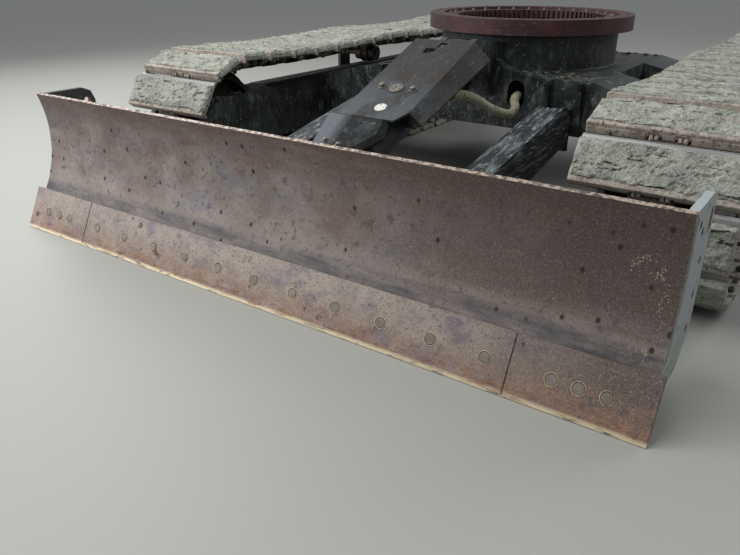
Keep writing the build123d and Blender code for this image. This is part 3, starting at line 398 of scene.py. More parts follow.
# Final drives: gloss-worn black paint with dust low down
drive_paint = layered(
    "drive_paint", "#1b1e20", 0.4,
    coat(80.0, 0.45, 0.62, "#2c3031", 0.5),
    coat(24.0, 0.58, 0.66, "#67685a", 0.92),
    bump=(10.0, 0.25),
)
# Worn pale paint of the disc on the guard
pale_disc = layered(
    "pale_disc", "#c9c5bd", 0.6,
    coat(14.0, 0.56, 0.60, "#2b2e33", 0.5),
    bump=(10.0, 0.1),
)
print("materials:", len(bpy.data.materials))

# %% [markdown]
# ## Iron, chrome and the hose's sleeve
# Wheels and rollers are oily and dusty, the rod is bright under a film, and the hose wears a woven
# sleeve. Metalness is full only where bare metal shines, because dust and rust are no mirrors.

# %% Iron, chrome and sleeve
# Wheels, rollers and sprockets: worn, oily and dusty iron
worn_iron = layered(
    "worn_iron", "#2f2724", 0.55,
    coat(60.0, 0.45, 0.62, "#44332f", 0.7),
    coat(14.0, 0.60, 0.70, "#6a6455", 0.9),
    metal=0.4, bump=(8.0, 0.4),
)
# Swing ring: machined once, now dark maroon with rust and grease
ring_iron = layered(
    "ring_iron", "#3a2427", 0.5,
    coat(90.0, 0.45, 0.62, "#4a2c2a", 0.65),
    coat((30.0, 30.0, 8.0), 0.58, 0.68, "#5f4740", 0.8),
    coat(10.0, 0.64, 0.70, "#7a6a5f", 0.85),
    metal=0.35, bump=(6.0, 0.3),
)
# Chromed rod, with a film of oil and dust
chrome = layered(
    "rod_chrome", "#c2c4c6", 0.12,
    coat((8.0, 120.0, 120.0), 0.60, 0.72, "#9a948a", 0.4),
    metal=1.0, bump=(20.0, 0.05),
)
# Pins, nuts and bolts: plain steel gone dull
bolt_steel = layered(
    "bolt_steel", "#77746d", 0.5,
    coat(8.0, 0.50, 0.64, "#5a483c", 0.8),
    metal=0.7, bump=(4.0, 0.3),
)
# Sleeve of the hose: beige woven plastic with dark rubbed bands
sleeve = layered(
    "hose_sleeve", "#8d8a74", 0.85,
    coat(30.0, 0.45, 0.60, "#a09c86", 0.85),
    coat((90.0, 14.0, 14.0), 0.60, 0.64, "#3b382e", 0.9),
    coat((9.0, 3.0, 9.0), 0.60, 0.70, "#5f5c4b", 0.9),
    bump=(3.0, 0.5),
)
print("materials:", len(bpy.data.materials))

# %% [markdown]
# ## Dressing the pieces
# One table says which material goes on which pieces of the frame. A name without a side stands for
# both sides. Each line could be a call of its own, but a table shows at once what shares a finish.

# %% Materials on the frame's pieces
wardrobe = (
    (frame_paint, ("track_frame", "carbody", "idler_yokes", "carrier_bracket", "blade_beam", "blade_ears")),
    (arm_paint, ("push_arm",)),
    (worn_iron, ("idler", "sprocket", "track_rollers")),
    (drive_paint, ("final_drive", "swivel_joint")),
    (moldboard_rust, ("moldboard",)),
    (edge_steel, ("cutting_edge", "end_bit")),
    (end_paint_and_shade, ("end_plate",)),
    (guard_paint, ("cylinder_barrel", "cylinder_guard")),
    (bonnet_paint, ("guard_bonnet",)),
    (chrome, ("cylinder_rod",)),
    (bolt_steel, ("arm_pins", "cylinder_pin")),
    (ring_iron, ("swing_ring_inner", "swing_ring_outer", "carrier_roller")),
    (shoe_steel, ("track",)),
    (sleeve, ("hose",)),
)
dressed = 0
for material, names in wardrobe:
    for name in names:
        for node_name in (name, f"{name}_left", f"{name}_right"):
            if node_name in nodes:
                nodes[node_name].data.materials.clear()
                nodes[node_name].data.materials.append(material)
                dressed += 1
print("pieces dressed:", dressed, "of", len(nodes))

# %% [markdown]
# ## Shapes
# Small pieces are made from a few kinds of shape: an outline pushed along an axis, a profile turned
# round an axis, a ball and a bead. A shape is a list of points and a list of faces, and several
# shapes are joined into one piece, which rides on the body that carries it. Blender's own operators
# could add them one by one, but lists are quicker to join and easier to place.

# %% Shape helpers
def circle(radius, count, offset=0.0):
    """Points round a circle, anticlockwise. The first one is turned by this share of a step."""
    angles = [2 * math.pi * (i + offset) / count for i in range(count)]
    return [(radius * math.cos(angle), radius * math.sin(angle)) for angle in angles]


def prism(outline, low, high, axis="x"):
    """An outline pushed from one place to another along X or Z. The outline runs anticlockwise."""
    order = {"x": (2, 0, 1), "z": (0, 1, 2)}[axis]
    count = len(outline)
    points = [tuple((u, v, w)[i] for i in order) for w in (low, high) for u, v in outline]
    faces = [tuple(range(count))[::-1], tuple(range(count, 2 * count))]
    faces += [(i, (i + 1) % count, count + (i + 1) % count, count + i) for i in range(count)]
    return points, faces


def turned(profile, steps):
    """A profile of (radius, height) turned round Z, lowest first. It may begin and end on the axis."""
    points, faces, rings = [], [], []
    for radius, height in profile:
        if radius < 1e-6:
            rings.append([len(points)] * steps)
            points.append((0.0, 0.0, height))
            continue
        rings.append([len(points) + i for i in range(steps)])
        points += [(x, y, height) for x, y in circle(radius, steps)]
    for below, above in zip(rings, rings[1:]):
        for i in range(steps):
            after = (i + 1) % steps
            corners = list(dict.fromkeys([below[i], below[after], above[after], above[i]]))
            if len(corners) > 2:
                faces.append(tuple(corners))
    return points, faces


def moved(shape, matrix):
    """The same shape in another place."""
    points, faces = shape
    return [tuple(matrix @ Vector(p)) for p in points], faces


def joined(shapes):
    """Several shapes as one."""
    points, faces = [], []
    for more_points, more_faces in shapes:
        start = len(points)
        points += more_points
        faces += [tuple(i + start for i in face) for face in more_faces]
    return points, faces


print("faces of a six-sided bar:", len(prism(circle(0.010, 6), 0.0, 0.1)[1]))

# %% Pieces
sharp_angle = 0.6       # edges that turn more than this, in radians, can be eased


def mesh_of(name, shape, material, bevel=0.0, smooth=False):
    """A mesh from a shape, with its sharp edges eased if asked."""
    mesh = bpy.data.meshes.new(name)
    mesh.from_pydata(shape[0], [], shape[1])
    work = bmesh.new()
    work.from_mesh(mesh)
    bmesh.ops.recalc_face_normals(work, faces=work.faces)
    if bevel:
        sharp = [e for e in work.edges if e.is_manifold and e.calc_face_angle(0.0) > sharp_angle]
        bmesh.ops.bevel(work, geom=sharp, offset=bevel, segments=1, affect="EDGES", clamp_overlap=True)
    for face in work.faces:
        face.smooth = smooth
    work.to_mesh(mesh)
    work.free()
    mesh.materials.append(material)
    return mesh


def piece(name, shape, material, body, bevel=0.0, smooth=False):
    """A finished piece that rides on a body."""
    made = in_scene(name, mesh_of(name, shape, material, bevel, smooth))
    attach(made, body)
    return made


def hex_bolt(radius, height):
    """A bolt's head with its washer, standing on Z = 0."""
    washer = turned([(0, 0), (radius * 1.35, 0), (radius * 1.35, height * 0.2), (0, height * 0.2)], 20)
    crown = turned([(radius * 0.86, height * 0.99), (radius * 0.6, height * 1.1), (0, height * 1.1)], 12)
    return joined([washer, prism(circle(radius, 6), height * 0.2, height, "z"), crown])


print("faces of one bolt's head:", len(hex_bolt(0.010, 0.010)[1]))

# %% [markdown]
# ## The chain's places
# The track's loop is 39 links long. Each link is a straight step between two pins. The upper run
# sags a little between the idler, the carrier roller and the sprocket, as it does in the photograph.
# A link's own axes are: across the track, along the chain, and outward. A curve could carry the
# links too, but counted steps keep every pin at the same pitch, as a real chain does.

# %% Places of the links
shoe_count = 39
chain_phase = 0.058
chain_sag = 0.017
loop_length = 2 * wheelbase + 2 * math.pi * pitch_radius


def on_wheel(wheel_y, angle):
    """Y and Z on the pitch circle of the idler or the sprocket."""
    return wheel_y + pitch_radius * math.cos(angle), wheel_z + pitch_radius * math.sin(angle)


def pin_place(index):
    """Y and Z of a chain pin, counted from the one below the sprocket."""
    distance = (index * loop_length / shoe_count + chain_phase) % loop_length
    half_turn = math.pi * pitch_radius
    if distance < wheelbase:
        return rear_y - distance, wheel_z - pitch_radius
    distance -= wheelbase
    if distance < half_turn:
        return on_wheel(front_y, 1.5 * math.pi - distance / pitch_radius)
    distance -= half_turn
    if distance < wheelbase:
        share = distance / wheelbase * 2 % 1
        return front_y + distance, wheel_z + pitch_radius - chain_sag * 4 * share * (1 - share)
    return on_wheel(rear_y, 0.5 * math.pi - (distance - wheelbase) / pitch_radius)


def link_place(index):
    """The middle of a link, and the turn about X that takes its own axes to the machine's."""
    start, end = Vector(pin_place(index)), Vector(pin_place(index + 1))
    along = (end - start).normalized()
    return (start + end) / 2, math.atan2(along.y, along.x)


chain = [link_place(index) for index in range(shoe_count)]
print("links:", len(chain), "pitch in mm:", round(loop_length / shoe_count * 1000, 1))

# %% [markdown]
# ## Repeating by nodes
# Shoes, links, mud pads and clumps repeat, so a small node tree places them: it takes a cloud of
# points that each carry a turn and a stretch, picks one of the variants for every point with a fixed
# seed, and makes real meshes of them. Copies could be placed by a loop, but the tree can be opened
# and changed later. The result is turned into a plain mesh before it joins the machine.

# %% The node tree that repeats variants
repeat_tree = bpy.data.node_groups.new("repeat_variants", "GeometryNodeTree")
tree_inputs = {"Geometry": "Geometry", "Variants": "Collection", "Seed": "Int", "Material": "Material"}
for name, kind in tree_inputs.items():
    socket = repeat_tree.interface.new_socket(name, in_out="INPUT", socket_type=f"NodeSocket{kind}")
    tree_inputs[name] = socket.identifier
repeat_tree.interface.new_socket("Geometry", in_out="OUTPUT", socket_type="NodeSocketGeometry")
entry = add(repeat_tree, "NodeGroupInput")
choices = add(
    repeat_tree, "GeometryNodeCollectionInfo",
    {"Collection": entry.outputs["Variants"], "Separate Children": True, "Reset Children": True},
)
turn = add(repeat_tree, "GeometryNodeInputNamedAttribute", {"Name": "turn"}, data_type="FLOAT_VECTOR")
stretch = add(repeat_tree, "GeometryNodeInputNamedAttribute", {"Name": "stretch"}, data_type="FLOAT_VECTOR")
least, most = 4, 5      # the numbers of the whole-number sockets for the range
span = {"Seed": entry.outputs["Seed"], least: 0, most: 99}
pick = add(repeat_tree, "FunctionNodeRandomValue", span, data_type="INT")
placed = add(
    repeat_tree, "GeometryNodeInstanceOnPoints",
    {
        "Points": entry.outputs["Geometry"], "Instance": choices.outputs[0], "Pick Instance": True,
        "Instance Index": pick.outputs[2], "Rotation": turn.outputs[0], "Scale": stretch.outputs[0],
    },
)
real = add(repeat_tree, "GeometryNodeRealizeInstances", {"Geometry": placed.outputs[0]})
painted = add(
    repeat_tree, "GeometryNodeSetMaterial",
    {"Geometry": real.outputs[0], "Material": entry.outputs["Material"]},
)
add(repeat_tree, "NodeGroupOutput", {"Geometry": painted.outputs[0]})
print("nodes in the tree:", len(repeat_tree.nodes))

# %% Using the tree
def repeated(name, places, variants, material, body, seed=1):
    """One piece made of a variant at each place. A place is (point, turn as three angles, stretch)."""
    shelf = bpy.data.collections.new(f"{name}_variants")
    for index, variant in enumerate(variants):
        shelf.objects.link(bpy.data.objects.new(f"{name}_variant_{index}", variant))
    cloud = bpy.data.meshes.new(f"{name}_points")
    cloud.from_pydata([place[0] for place in places], [], [])
    for number, label in ((1, "turn"), (2, "stretch")):
        values = [v for place in places for v in place[number]]
        cloud.attributes.new(label, "FLOAT_VECTOR", "POINT").data.foreach_set("vector", values)
    carrier = in_scene(f"{name}_carrier", cloud)
    modifier = carrier.modifiers.new("repeat", "NODES")
    modifier.node_group = repeat_tree
    for label, value in (("Variants", shelf), ("Seed", seed), ("Material", material)):
        modifier[tree_inputs[label]] = value
    graph = bpy.context.evaluated_depsgraph_get()
    mesh = bpy.data.meshes.new_from_object(carrier.evaluated_get(graph), depsgraph=graph)
    carrier.modifiers.clear()
    bpy.data.objects.remove(carrier)
    for variant in list(shelf.objects):
        bpy.data.objects.remove(variant)
    bpy.data.collections.remove(shelf)
    mesh.name = name
    made = in_scene(name, mesh)
    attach(made, body)
    print(name, "faces:", len(mesh.polygons))
    return made


def on_chain(side, indices):
    """Places of the links with these numbers, on one side's track, each with its bare lip leading."""
    spots = [chain[i] for i in indices]
    return [((side * track_x, y, z), (-angle, 0, math.pi), (1, 1, 1)) for (y, z), angle in spots]


print("places on a track:", len(on_chain(1, range(shoe_count))))

# %% [markdown]
# ## Shoes and links
# A shoe is a rolled plate with grousers. Its front edge is a bar bent inward, cut out twice where
# its links' noses show; its rear edge is a thin lip that the ground keeps bare. Links are
# forged pairs, narrow at one end and wide at the other, with a bushing and a pin between them.
# Heights are measured outward from the line through the chain's pins. One shoe could be modelled by
# hand, but an outline pushed across is what the rolling mill makes.

# %% Shapes of a shoe, a lip and a pair of links
shoe_half = 0.225


def shoe_shape():
    """One shoe without its bare lip, in its own axes: across, along, outward."""
    plate = [
        (-0.062, 0.020), (0.052, 0.020), (0.060, 0.030), (0.068, 0.030), (0.067, 0.045),
        (0.049, 0.045), (0.046, 0.030), (0.009, 0.030), (0.005, 0.042), (-0.005, 0.042),
        (-0.009, 0.030), (-0.045, 0.030), (-0.049, 0.044), (-0.058, 0.044), (-0.062, 0.030),
    ]
    skirt = [(0.057, 0.012), (0.070, 0.010), (0.069, 0.033), (0.058, 0.031)]
    shapes = [prism(plate, -shoe_half + 0.001, shoe_half - 0.001)]
    for low, high in ((-shoe_half + 0.001, -0.057), (-0.017, 0.017), (0.057, shoe_half - 0.001)):
        shapes.append(prism(skirt, low, high))
    for low, high in ((-0.057, -0.051), (-0.023, -0.017), (0.017, 0.023), (0.051, 0.057)):
        shapes.append(prism([(0.058, 0.022), (0.0695, 0.022), (0.0690, 0.034), (0.058, 0.032)], low, high))
    nose = [(0.050, 0.000), (0.077, -0.002), (0.076, 0.019), (0.068, 0.029), (0.050, 0.029)]
    for x in (-0.0495, -0.0355, 0.0245, 0.0385):
        shapes.append(prism(nose, x, x + 0.011))
    return joined(shapes)


def lip_shape():
    """The bare lip at a shoe's rear edge."""
    outline = [
        (-0.061, 0.020), (-0.061, 0.030), (-0.074, 0.027),
        (-0.081, 0.019), (-0.077, 0.013), (-0.071, 0.018),
    ]
    return prism(outline, -shoe_half + 0.002, shoe_half - 0.002)


def link_shape():
    """A pair of link plates with the bushing and the pin at their front end."""
    wide, nose = 0.057, 0.027
    rail = [
        (nose, -0.094), (nose + 0.014, -0.094), (nose + 0.014, -0.030), (wide, 0.012), (wide, 0.094),
        (wide - 0.014, 0.094), (wide - 0.014, 0.022), (nose, -0.020),
    ]
    seat = [
        (nose + 0.001, -0.052), (nose + 0.015, -0.052), (wide - 0.001, 0.010), (wide - 0.001, 0.052),
        (wide - 0.015, 0.052), (nose + 0.001, 0.0),
    ]
    shapes = []
    for side in (-1, 1):
        for plan, low, high in ((rail, -0.036, 0.014), (seat, 0.012, 0.021)):
            shapes.append(prism([(side * x, along) for x, along in plan][::side], low, high, "z"))
    across = Matrix.Translation((0, 0.077, 0)) @ Matrix.Rotation(math.pi / 2, 4, "Y")
    for radius, half in ((0.020, 0.043), (0.013, 0.061)):
        shapes.append(moved(turned([(0, -half), (radius, -half), (radius, half), (0, half)], 14), across))
    return joined(shapes)


shoe_mesh = mesh_of("shoe", shoe_shape(), shoe_steel, bevel=0.0022)
lip_mesh = mesh_of("lip", lip_shape(), bare_lip)
link_mesh = mesh_of("link", link_shape(), link_steel, bevel=0.0016)
print("faces of a shoe, a lip, a pair of links:", [len(m.polygons) for m in (shoe_mesh, lip_mesh, link_mesh)])

# %% Shoes and links
everywhere = range(shoe_count)
sides = ((1, "left"), (-1, "right"))
for side, label in sides:
    places = on_chain(side, everywhere)
    shoes = repeated(f"track_shoes_{label}", places, [shoe_mesh], shoe_steel, "undercarriage")
    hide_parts(f"track_{label}")
    repeated(f"track_lips_{label}", places, [lip_mesh], bare_lip, "undercarriage")
    repeated(f"track_links_{label}", places, [link_mesh], link_steel, "undercarriage")

# %% [markdown]
# ## Mud on the shoes
# The clay fills every shoe up to its grousers and has dried to a flat, lumpy pad with a crumbled rear
# edge. Sculpting would take an hour a pad, so ten are shaped by noise of several sizes and dealt out
# along the chain: six high ones, and four pressed flat for the lower run and the rear, where they lie
# on the floor or at the machine's rearmost place.

# %% Shape of a mud pad
high_crest, low_crest = 0.0630, 0.0495


def waves(x, y, z):
    """Smooth noise between about -1 and 1 at a point."""
    return noise.noise(Vector((x, y, z)))


def pad_shape(seed, crest, across=72, along=17):
    """A pad of dried clay on a shoe. The crest is how far its top may stand outward."""
    points, faces = [], []
    for row in range(along + 1):
        for column in range(across + 1):
            x = (column / across - 0.5) * 2 * (shoe_half + 0.001)
            share = row / along
            rear = -0.0635 + max(0.0, waves(x * 28, seed * 7.1, 0.0) * 0.008)
            front = 0.052 + 0.012 * waves(x * 11, seed * 4.7, 2.0)
            front += 0.005 * waves(x * 60, seed * 4.7, 5.0)
            y = rear + (min(front, 0.066) - rear) * share
            height = 0.0505
            for grain, shift, depth in ((14, 3.7, 0.0062), (55, 5.3, 0.0032), (150, 9.1, 0.0018)):
                height += waves(x * grain, y * grain, seed * shift) * depth
            crack = abs(waves(x * 9 + 3.1 * seed, y * 26, seed * 1.9))
            if crack < 0.020:
                height -= 0.005
            side_gap = shoe_half + 0.002 - abs(x)
            ragged = 0.010 + 0.008 * waves(seed * 2.3, y * 60, math.copysign(4.0, x))
            if side_gap < ragged:
                height -= (1 - side_gap / ragged) * 0.014
            if row == 0:
                height -= 0.012
            if row == along:
                height -= 0.003 + 0.004 * waves(x * 70, seed * 2.9, 7.0)
            points.append((x, y, min(height, crest)))
    for row in range(along):
        for column in range(across):
            a = row * (across + 1) + column
            faces.append((a, a + 1, a + across + 2, a + across + 1))
    rim = list(range(across + 1))
    rim += [row * (across + 1) + across for row in range(1, along + 1)]
    rim += [along * (across + 1) + column for column in range(across - 1, -1, -1)]
    rim += [row * (across + 1) for row in range(along - 1, 0, -1)]
    base = len(points)
    for index in rim:
        x, y, _ = points[index]
        points.append((x, y, 0.024))
    for i, index in enumerate(rim):
        after = (i + 1) % len(rim)
        faces.append((index, base + i, base + after, rim[after]))
    faces.append(tuple(base + i for i in range(len(rim)))[::-1])
    return points, faces


print("faces of one pad:", len(pad_shape(1, high_crest)[1]))

# %% Mud pads
lower_run = 0.20


def outward_room(index):
    """True where a pad may stand a little over the grousers."""
    (y, z), _ = chain[index]
    return z > lower_run and y < rear_y


high_pads = [mesh_of(f"pad_{n}", pad_shape(n + 1, high_crest), mud) for n in range(6)]
low_pads = [mesh_of(f"low_pad_{n}", pad_shape(n + 11, low_crest), mud) for n in range(4)]
for side, label in sides:
    for word, pads, indices in (
        ("upper", high_pads, [i for i in everywhere if outward_room(i)]),
        ("lower", low_pads, [i for i in everywhere if not outward_room(i)]),
    ):
        repeated(f"mud_{word}_{label}", on_chain(side, indices), pads, mud, "undercarriage", seed=5 + side)

# %% [markdown]
# ## Clay underneath
# Under the shoes, along their inner and outer edges, clumps of clay hang on, most of all on the
# upper run. Smaller clumps lie on the frames and in the corners of the carbody. All are painted
# darker than the clay on the shoes, as painted shade. A particle system could strew them, but places
# drawn with a fixed seed come out the same every time. A clump is a ball of eighty faces, because
# there are hundreds.

# %% Shape of a clump
def ball_shape(subdivisions):
    """A round ball one unit wide."""
    ball = bmesh.new()
    bmesh.ops.create_icosphere(ball, subdivisions=subdivisions, radius=0.5)
    points = [tuple(vertex.co) for vertex in ball.verts]
    faces = [tuple(vertex.index for vertex in face.verts) for face in ball.faces]
    ball.free()
    return points, faces


def clump_shape(seed):
    """A lump of clay: a ball pushed in and out by noise."""
    points, faces = ball_shape(2)
    lumpy = []
    for spot in [Vector(point) for point in points]:
        push = 1 + 0.7 * noise.noise(spot * 3 + Vector((seed * 4.3, 0, 0)))
        lumpy.append(tuple(spot * push))
    return lumpy, faces


clumps = [mesh_of(f"clump_{n}", clump_shape(n + 1), dark_mud) for n in range(6)]
print("kinds of clump:", len(clumps))

# %% Clumps
dice = random.Random(11)
upper_run = 0.45
reaches = ((0.0, 0.006), (0.004, 0.05), (0.004, 0.11))      # how far in from the shoe's end


def scattered(count, low, high, size, flat):
    """Clumps at random places in a box, with sizes up to one given in metres, and this flat."""
    places = []
    for _ in range(count):
        point = [dice.uniform(a, b) for a, b in zip(low, high)]
        width = size * dice.uniform(0.35, 1.0)
        angles = (dice.uniform(-0.4, 0.4), dice.uniform(-0.4, 0.4), dice.uniform(0, 6.28))
        places.append((point, angles, (width, width * dice.uniform(0.6, 1.0), width * flat)))
    return places


for side, label in sides:
    places = []
    for index in everywhere:
        (y, z), angle = chain[index]
        upper = z > upper_run
        for edge in (-1, 1):
            for number in range(16 if upper else 5):
                x = side * track_x + edge * (shoe_half - 0.010 - dice.uniform(*reaches[number % 3]))
                step, lift = dice.uniform(-0.066, 0.062), dice.uniform(0.004, 0.022)
                place_y = y + step * math.cos(angle) - lift * math.sin(angle)
                place_z = z + step * math.sin(angle) + lift * math.cos(angle)
                width = dice.uniform(0.010, 0.030 if upper else 0.024)
                if place_z - width * 0.6 > 0.002:
                    turns = (dice.uniform(0, 6), 0, dice.uniform(0, 6))
                    places.append(((x, place_y, place_z), turns, (width,) * 3))
    repeated(f"clay_under_{label}", places, clumps, dark_mud, "undercarriage", seed=21)
    low_x, high_x = sorted((side * (track_x - 0.15), side * (track_x + 0.15)))
    places = scattered(70, (low_x, ahead(0.83), 0.375), (high_x, ahead(-0.70), 0.385), 0.035, 0.35)
    places += scattered(60, (low_x, ahead(1.30), 0.410), (high_x, ahead(0.90), 0.414), 0.03, 0.3)
    repeated(f"frame_clay_{label}", places, clumps, dark_mud, "undercarriage", seed=31)

places = []
ledges = ((-0.48, -0.15, 0.50, 0.30), (0.15, 0.48, 0.50, 0.30), (-0.48, 0.48, -0.42, -0.50))
for x_low, x_high, near, far in ledges:
    low, high = (x_low, ahead(near), carbody_top), (x_high, ahead(far), carbody_top + 0.002)
    places += scattered(60, low, high, 0.03, 0.3)
repeated("carbody_clay", places, clumps, dark_mud, "undercarriage", seed=41)

# %% [markdown]
# ## Bolts and seams on the blade
# The cutting edge is held by eleven flush plow bolts, six inches apart, and each end bit by three more.
# Their dark heads sit in gaps painted dark, as painted shade, and in rims painted pale, as a painted
# highlight. The end plates have bored holes, lined dark as painted shade, and a slot with rusty walls.
# Rings and linings turned from a short profile show these edges better than any bump in a material.

# %% Bolts and seams on the blade
floor_gap = 0.002
bolt_pitch, bit_bolts, bolt_up = 0.1524, (0.930, 0.994, 1.058), 0.075
joint_x, joint_half = 0.8245, 0.0014
edge_up = Vector((0.0, 0.0698, 0.1398)).normalized()
out_of_edge = Vector((0.0, -edge_up.z, edge_up.y))
on_edge = Matrix.Translation((0, blade_tip_y, floor_gap)) @ Matrix((
    (1, 0, 0), (0, edge_up.y, out_of_edge.y), (0, edge_up.z, out_of_edge.z),
)).to_4x4()
mold_front, mold_height, mold_radius = -0.26756, 0.34483, 0.4162


def mold_side(height, depth=0.0):
    """Y and Z on the moldboard at a height over the edge's tip, and this deep behind its face."""
    back = mold_front + math.sqrt((mold_radius + depth) ** 2 - (height - mold_height) ** 2)
    return blade_tip_y + back, height + floor_gap


plow_head = turned([(0, -0.002), (0.0142, -0.002), (0.0136, 0.0011), (0, 0.0013)], 28)
# A dark ring in the gap round each head: painted shade
plow_gap_shade = turned([(0.0142, -0.002), (0.0153, -0.002), (0.0153, 0.0006), (0.0142, 0.0006)], 28)
# The pale rim round each head: a painted highlight
rim_shape = [(0.0153, -0.002), (0.0174, -0.002), (0.0172, 0.0010), (0.0162, 0.0014), (0.0153, 0.0004)]
plow_rim = turned(rim_shape, 28)
heads, seams, rims = [], [], []
for x in [n * bolt_pitch for n in range(-5, 6)] + [side * v for side in (-1, 1) for v in bit_bolts]:
    place = on_edge @ Matrix.Translation((x, bolt_up, 0.0002))
    heads.append(moved(plow_head, place))
    seams.append(moved(plow_gap_shade, place))
    rims.append(moved(plow_rim, place))
for x in (-joint_x, joint_x):
    low_x, high_x = x - joint_half, x + joint_half
    strip = [(low_x, 0.004), (high_x, 0.004), (high_x, 0.155), (low_x, 0.155)]
    seams.append(moved(prism(strip, -0.002, 0.0005, "z"), on_edge))
print("plow bolts:", len(heads))

# %% Holes and slots of the end plates
end_plate_x, end_plate_wall = 1.1355, 0.020


def lining(radius, straight, wall=0.0008, steps=24):
    """A thin lining across X for a round hole, or for a slot with an upright straight stretch."""
    rings = []
    for x, reach in ((-1, radius), (1, radius), (1, radius - wall), (-1, radius - wall)):
        for y, z in circle(reach, steps, 0.5):
            rings.append((x * (end_plate_wall / 2 - 0.0004), y, z + math.copysign(straight / 2, z)))
    faces = []
    for ring in range(4):
        for i in range(steps):
            a, b = ring * steps, (ring + 1) % 4 * steps
            faces.append((a + i, a + (i + 1) % steps, b + (i + 1) % steps, b + i))
    return rings, faces


plate_holes = (
    (0.165, 0.453), (0.205, 0.436), (0.240, 0.411), (0.285, 0.330), (0.295, 0.240), (0.300, 0.150),
)
hole_radius, slot_radius, slot_straight, slot_place = 0.010, 0.015, 0.036, (0.318, 0.415)
slots = []
for side in (-1, 1):
    at_plate = Matrix.Translation((side * end_plate_x, blade_tip_y, floor_gap))
    # Dark linings in the round holes: painted shade
    for back, height in plate_holes:
        seams.append(moved(lining(hole_radius, 0.0), at_plate @ Matrix.Translation((0, back, height))))
    spot = at_plate @ Matrix.Translation((0, *slot_place))
    slots.append(moved(lining(slot_radius, slot_straight), spot))
piece("slot_linings", joined(slots), slot_rust, "blade")
# The dark gaps and hole linings are painted shade, the pale rims a painted highlight
piece("plow_bolts", joined(heads), plow_steel, "blade")
piece("blade_seams", joined(seams), seam_dirt, "blade")
piece("plow_rims", joined(rims), worn_rim, "blade", smooth=True)
print("dark seams and linings:", len(seams) + len(slots))

# %% [markdown]
# ## Splashes on the moldboard
# Dry clay sticks to the left end of the moldboard in clusters of small flat flecks. Each fleck is a
# ball of twenty faces pressed flat and laid on the curve. A coat of spots in the material would lie
# everywhere, and these have places of their own.

# %% Splashes on the moldboard
splash_dice = random.Random(3)
fleck = ball_shape(1)
flecks = []
# The middle of a cluster, its half sizes and the number of its flecks
clusters = (
    (1.040, 0.345, 0.009, 0.014, 26),
    (1.064, 0.362, 0.016, 0.007, 20),
    (1.088, 0.328, 0.016, 0.007, 28),
    (1.103, 0.342, 0.005, 0.010, 10),
    (1.113, 0.275, 0.008, 0.032, 26),
    (1.122, 0.212, 0.007, 0.032, 20),
    (1.094, 0.158, 0.020, 0.009, 30),
    (0.400, 0.300, 0.060, 0.060, 14),
    (-0.350, 0.380, 0.080, 0.050, 14),
)
for x, height, wide, high, count in clusters:
    for _ in range(count):
        spot_x = x + splash_dice.gauss(0, wide / 1.6)
        spot_height = height + splash_dice.gauss(0, high / 1.6)
        spot_y, spot_z = mold_side(spot_height)
        tilt = math.atan2(mold_front - spot_y + blade_tip_y, mold_height - spot_height)
        size = splash_dice.uniform(0.0012, 0.0042)
        place = Matrix.Translation((min(spot_x, 1.142), spot_y, spot_z)) @ Matrix.Rotation(-tilt, 4, "X")
        place = place @ Matrix.Rotation(splash_dice.uniform(0, 6.28), 4, "Z")
        flat = Matrix.Diagonal((size, size * splash_dice.uniform(0.4, 1.0), 0.0012, 1))
        flecks.append(moved(fleck, place @ flat))
piece("blade_splashes", joined(flecks), pale_splash, "blade")
print("flecks:", len(flecks))

# %% [markdown]
# ## Bolts, plug and disc on the guard
# The guard has two bolts, a round plug between them and a worn blank disc, and two small bolts hold
# the bonnet. All stand square to the cylinder, so one function sets them by their place along it.

# %% Bolts, plug and disc on the guard
guard_top = 0.098
ram_turn = Matrix(((1, 0, 0), (0, ram_forward, -ram_down), (0, ram_down, ram_forward))).to_4x4()


def on_ram(shape, x, along, up):
    """A shape that stands on Z = 0, set square to the cylinder."""
    return moved(shape, Matrix.Translation(by_ram(x, along, up)) @ ram_turn)


ram_bolts = [on_ram(hex_bolt(0.011, 0.011), x, 0.447, guard_top) for x in (-0.064, 0.064)]
for spot in ((-0.105, 0.765, 0.0715), (-0.045, 0.775, 0.0695)):
    ram_bolts.append(on_ram(hex_bolt(0.008, 0.008), *spot))
piece("guard_bolts", joined(ram_bolts), bolt_steel, "cylinder", bevel=0.0006)
plug = turned([
    (0, 0), (0.0265, 0), (0.0265, 0.004), (0.0235, 0.0065), (0.008, 0.0065), (0.006, 0.004), (0, 0.004),
], 40)
piece("guard_plug", on_ram(plug, 0.0, 0.452, guard_top), bolt_steel, "cylinder")
disc = turned([(0, 0), (0.0225, 0), (0.0225, 0.0008), (0, 0.0008)], 40)
piece("guard_disc", on_ram(disc, 0.008, 0.575, guard_top), pale_disc, "cylinder")
print("bolts on the guard:", len(ram_bolts))

# %% [markdown]
# ## Rows of bolts
# The swing ring, the final drives and the idlers have bolts in circles, and each roller's block is
# held from below by four. The CAD model leaves them out, because they say nothing about the fit.

# %% Rows of bolts
def ring_of_bolts(centre, axis, radius, count, bolt_radius, height):
    """Bolt heads in a circle round a centre, standing out along an axis."""
    turn = Vector((0, 0, 1)).rotation_difference(Vector(axis)).to_matrix().to_4x4()
    base, head = Matrix.Translation(centre) @ turn, hex_bolt(bolt_radius, height)
    spots = [Matrix.Translation((x, y, 0)) for x, y in circle(radius, count, 0.5)]
    return joined([moved(head, base @ spot) for spot in spots])


